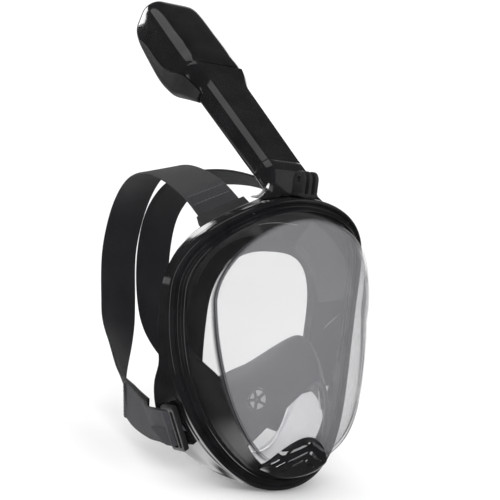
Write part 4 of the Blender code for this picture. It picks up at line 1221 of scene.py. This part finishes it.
def view_axes():
    a, e, r = (math.radians(v) for v in (VIEW_AZIMUTH, VIEW_RISE, VIEW_ROLL))
    ahead = Vector((-math.sin(a) * math.cos(e), math.cos(a) * math.cos(e), -math.sin(e)))
    level = ahead.cross(Vector((0, 0, 1))).normalized()
    up = level.cross(ahead)
    return level * math.cos(r) + up * math.sin(r), up * math.cos(r) - level * math.sin(r), ahead


def make_camera():
    right, up, ahead = view_axes()
    data = bpy.data.cameras.new("photo_view")
    data.sensor_width = 36.0
    data.lens = 36.0 * PIXELS_PER_METRE * VIEW_DISTANCE / 500
    data.clip_start = 0.05
    camera = bpy.data.objects.new("photo_view", data)
    bpy.context.scene.collection.objects.link(camera)
    turned = Matrix((right, up, -ahead)).transposed().to_4x4()
    turned.translation = VIEW_TARGET - ahead * VIEW_DISTANCE
    camera.matrix_world = turned
    bpy.context.scene.camera = camera


def make_floor():
    bottom = cad_box[0][2] - 0.0004
    mesh = bpy.data.meshes.new("floor")
    reach = 12.0
    mesh.from_pydata([(-reach, -reach, bottom), (reach, -reach, bottom), (reach, reach, bottom),
                      (-reach, reach, bottom)], [], [(0, 1, 2, 3)])
    floor = bpy.data.objects.new("floor", mesh)
    bpy.context.scene.collection.objects.link(floor)
    look = Look("pale_floor", 0.85, Specular_IOR_Level=0.0)
    look.colour(look.ramp(look.noise(3, 2), ((0.3, 0.93), (0.7, 0.95))))
    mesh.materials.append(look.material)
    floor.visible_glossy = False


# Softboxes: name, direction, distance, size in metres, watts, and whether it is a fill. A fill
# lights surfaces and isn't reflected. The others are only seen as reflections.
PANELS = (("back_high", (-0.20, 0.88, 0.42), 1.3, (0.34, 0.40), 2.4, False),
          ("back_left_low", (-0.56, 0.83, -0.03), 1.3, (0.5, 0.10), 0.12, False),
          ("overhead_left", (-0.38, 0.42, 0.82), 1.4, (0.6, 0.8), 1.2, False),
          ("right_back", (0.82, 0.56, 0.05), 1.4, (0.10, 0.9), 0.5, False),
          ("right_front_high", (0.56, -0.57, 0.60), 1.4, (1.1, 1.3), 1.6, False),
          ("left_strip", (-0.97, 0.16, 0.05), 1.4, (0.10, 1.2), 0.8, False),
          ("fill_front", (-0.50, -0.86, 0.03), 2.0, (1.0, 1.0), 34, True),
          ("back_right_high", (0.56, 0.68, 0.47), 1.4, (0.3, 0.3), 0.45, False),
          ("key", (-0.35, -0.75, 0.65), 2.2, (1.2, 1.2), 12, True))
PANELS_FACE = Vector((0.0, 0.0, 0.05))


def soft_panel(name, toward, distance, size, watts, fill):
    """A rectangular softbox that faces the object from a direction."""
    light = bpy.data.lights.new(name, "AREA")
    light.shape = "RECTANGLE"
    light.size, light.size_y = size
    light.energy = watts
    obj = bpy.data.objects.new(name, light)
    bpy.context.scene.collection.objects.link(obj)
    away = Vector(toward).normalized()
    obj.location = PANELS_FACE + away * distance
    obj.rotation_euler = (-away).to_track_quat("-Z", "Y").to_euler()
    obj.visible_camera = False
    obj.visible_diffuse = fill
    obj.visible_glossy = not fill
    obj.visible_transmission = False


def make_light():
    world = bpy.data.worlds.new("studio")
    bpy.context.scene.world = world
    world.use_nodes = True
    nodes, links = world.node_tree.nodes, world.node_tree.links
    nodes["Background"].inputs["Color"].default_value = (1.0, 1.0, 1.0, 1.0)
    nodes["Background"].inputs["Strength"].default_value = 1.12
    # Reflections see a dim room with a bright backdrop behind the object and a lower one under it.
    dim = nodes.new("ShaderNodeBackground")
    place = nodes.new("ShaderNodeTexCoord")

    def lobe(toward, limits):
        aim, glow = nodes.new("ShaderNodeVectorMath"), nodes.new("ShaderNodeMapRange")
        aim.operation = "DOT_PRODUCT"
        aim.inputs[1].default_value = Vector(toward).normalized()
        links.new(place.outputs["Generated"], aim.inputs[0])
        glow.interpolation_type = "SMOOTHSTEP"
        for socket, value in enumerate(limits, 1):
            glow.inputs[socket].default_value = value
        links.new(aim.outputs["Value"], glow.inputs["Value"])
        return glow.outputs["Result"]

    total = nodes.new("ShaderNodeMath")
    links.new(lobe((0.56, 0.83, -0.06), (0.72, 0.97, 0.07, 0.95)), total.inputs[0])
    links.new(lobe((-0.22, 0.48, -0.85), (0.86, 0.98, 0.0, 3.5)), total.inputs[1])
    links.new(total.outputs[0], dim.inputs["Strength"])
    path, mix = nodes.new("ShaderNodeLightPath"), nodes.new("ShaderNodeMixShader")
    links.new(path.outputs["Is Glossy Ray"], mix.inputs[0])
    links.new(nodes["Background"].outputs[0], mix.inputs[1])
    links.new(dim.outputs[0], mix.inputs[2])
    links.new(mix.outputs[0], nodes["World Output"].inputs["Surface"])
    for panel in PANELS:
        soft_panel(*panel)
    bpy.context.scene.view_settings.view_transform = "Standard"


# ---------------------------------------------------------------- the whole object

def build():
    make_lens()
    make_bezel()
    make_rear_frame()
    make_skirt()
    make_mould_lines()
    make_divider()
    make_inhale_valves()
    make_chin_seat()
    make_chin_cover()
    make_socket()
    make_tube()
    make_head()
    make_camera_mount()
    make_harness()
    recoat_cad_nodes()
    make_floor()
    make_light()
    make_camera()


build()
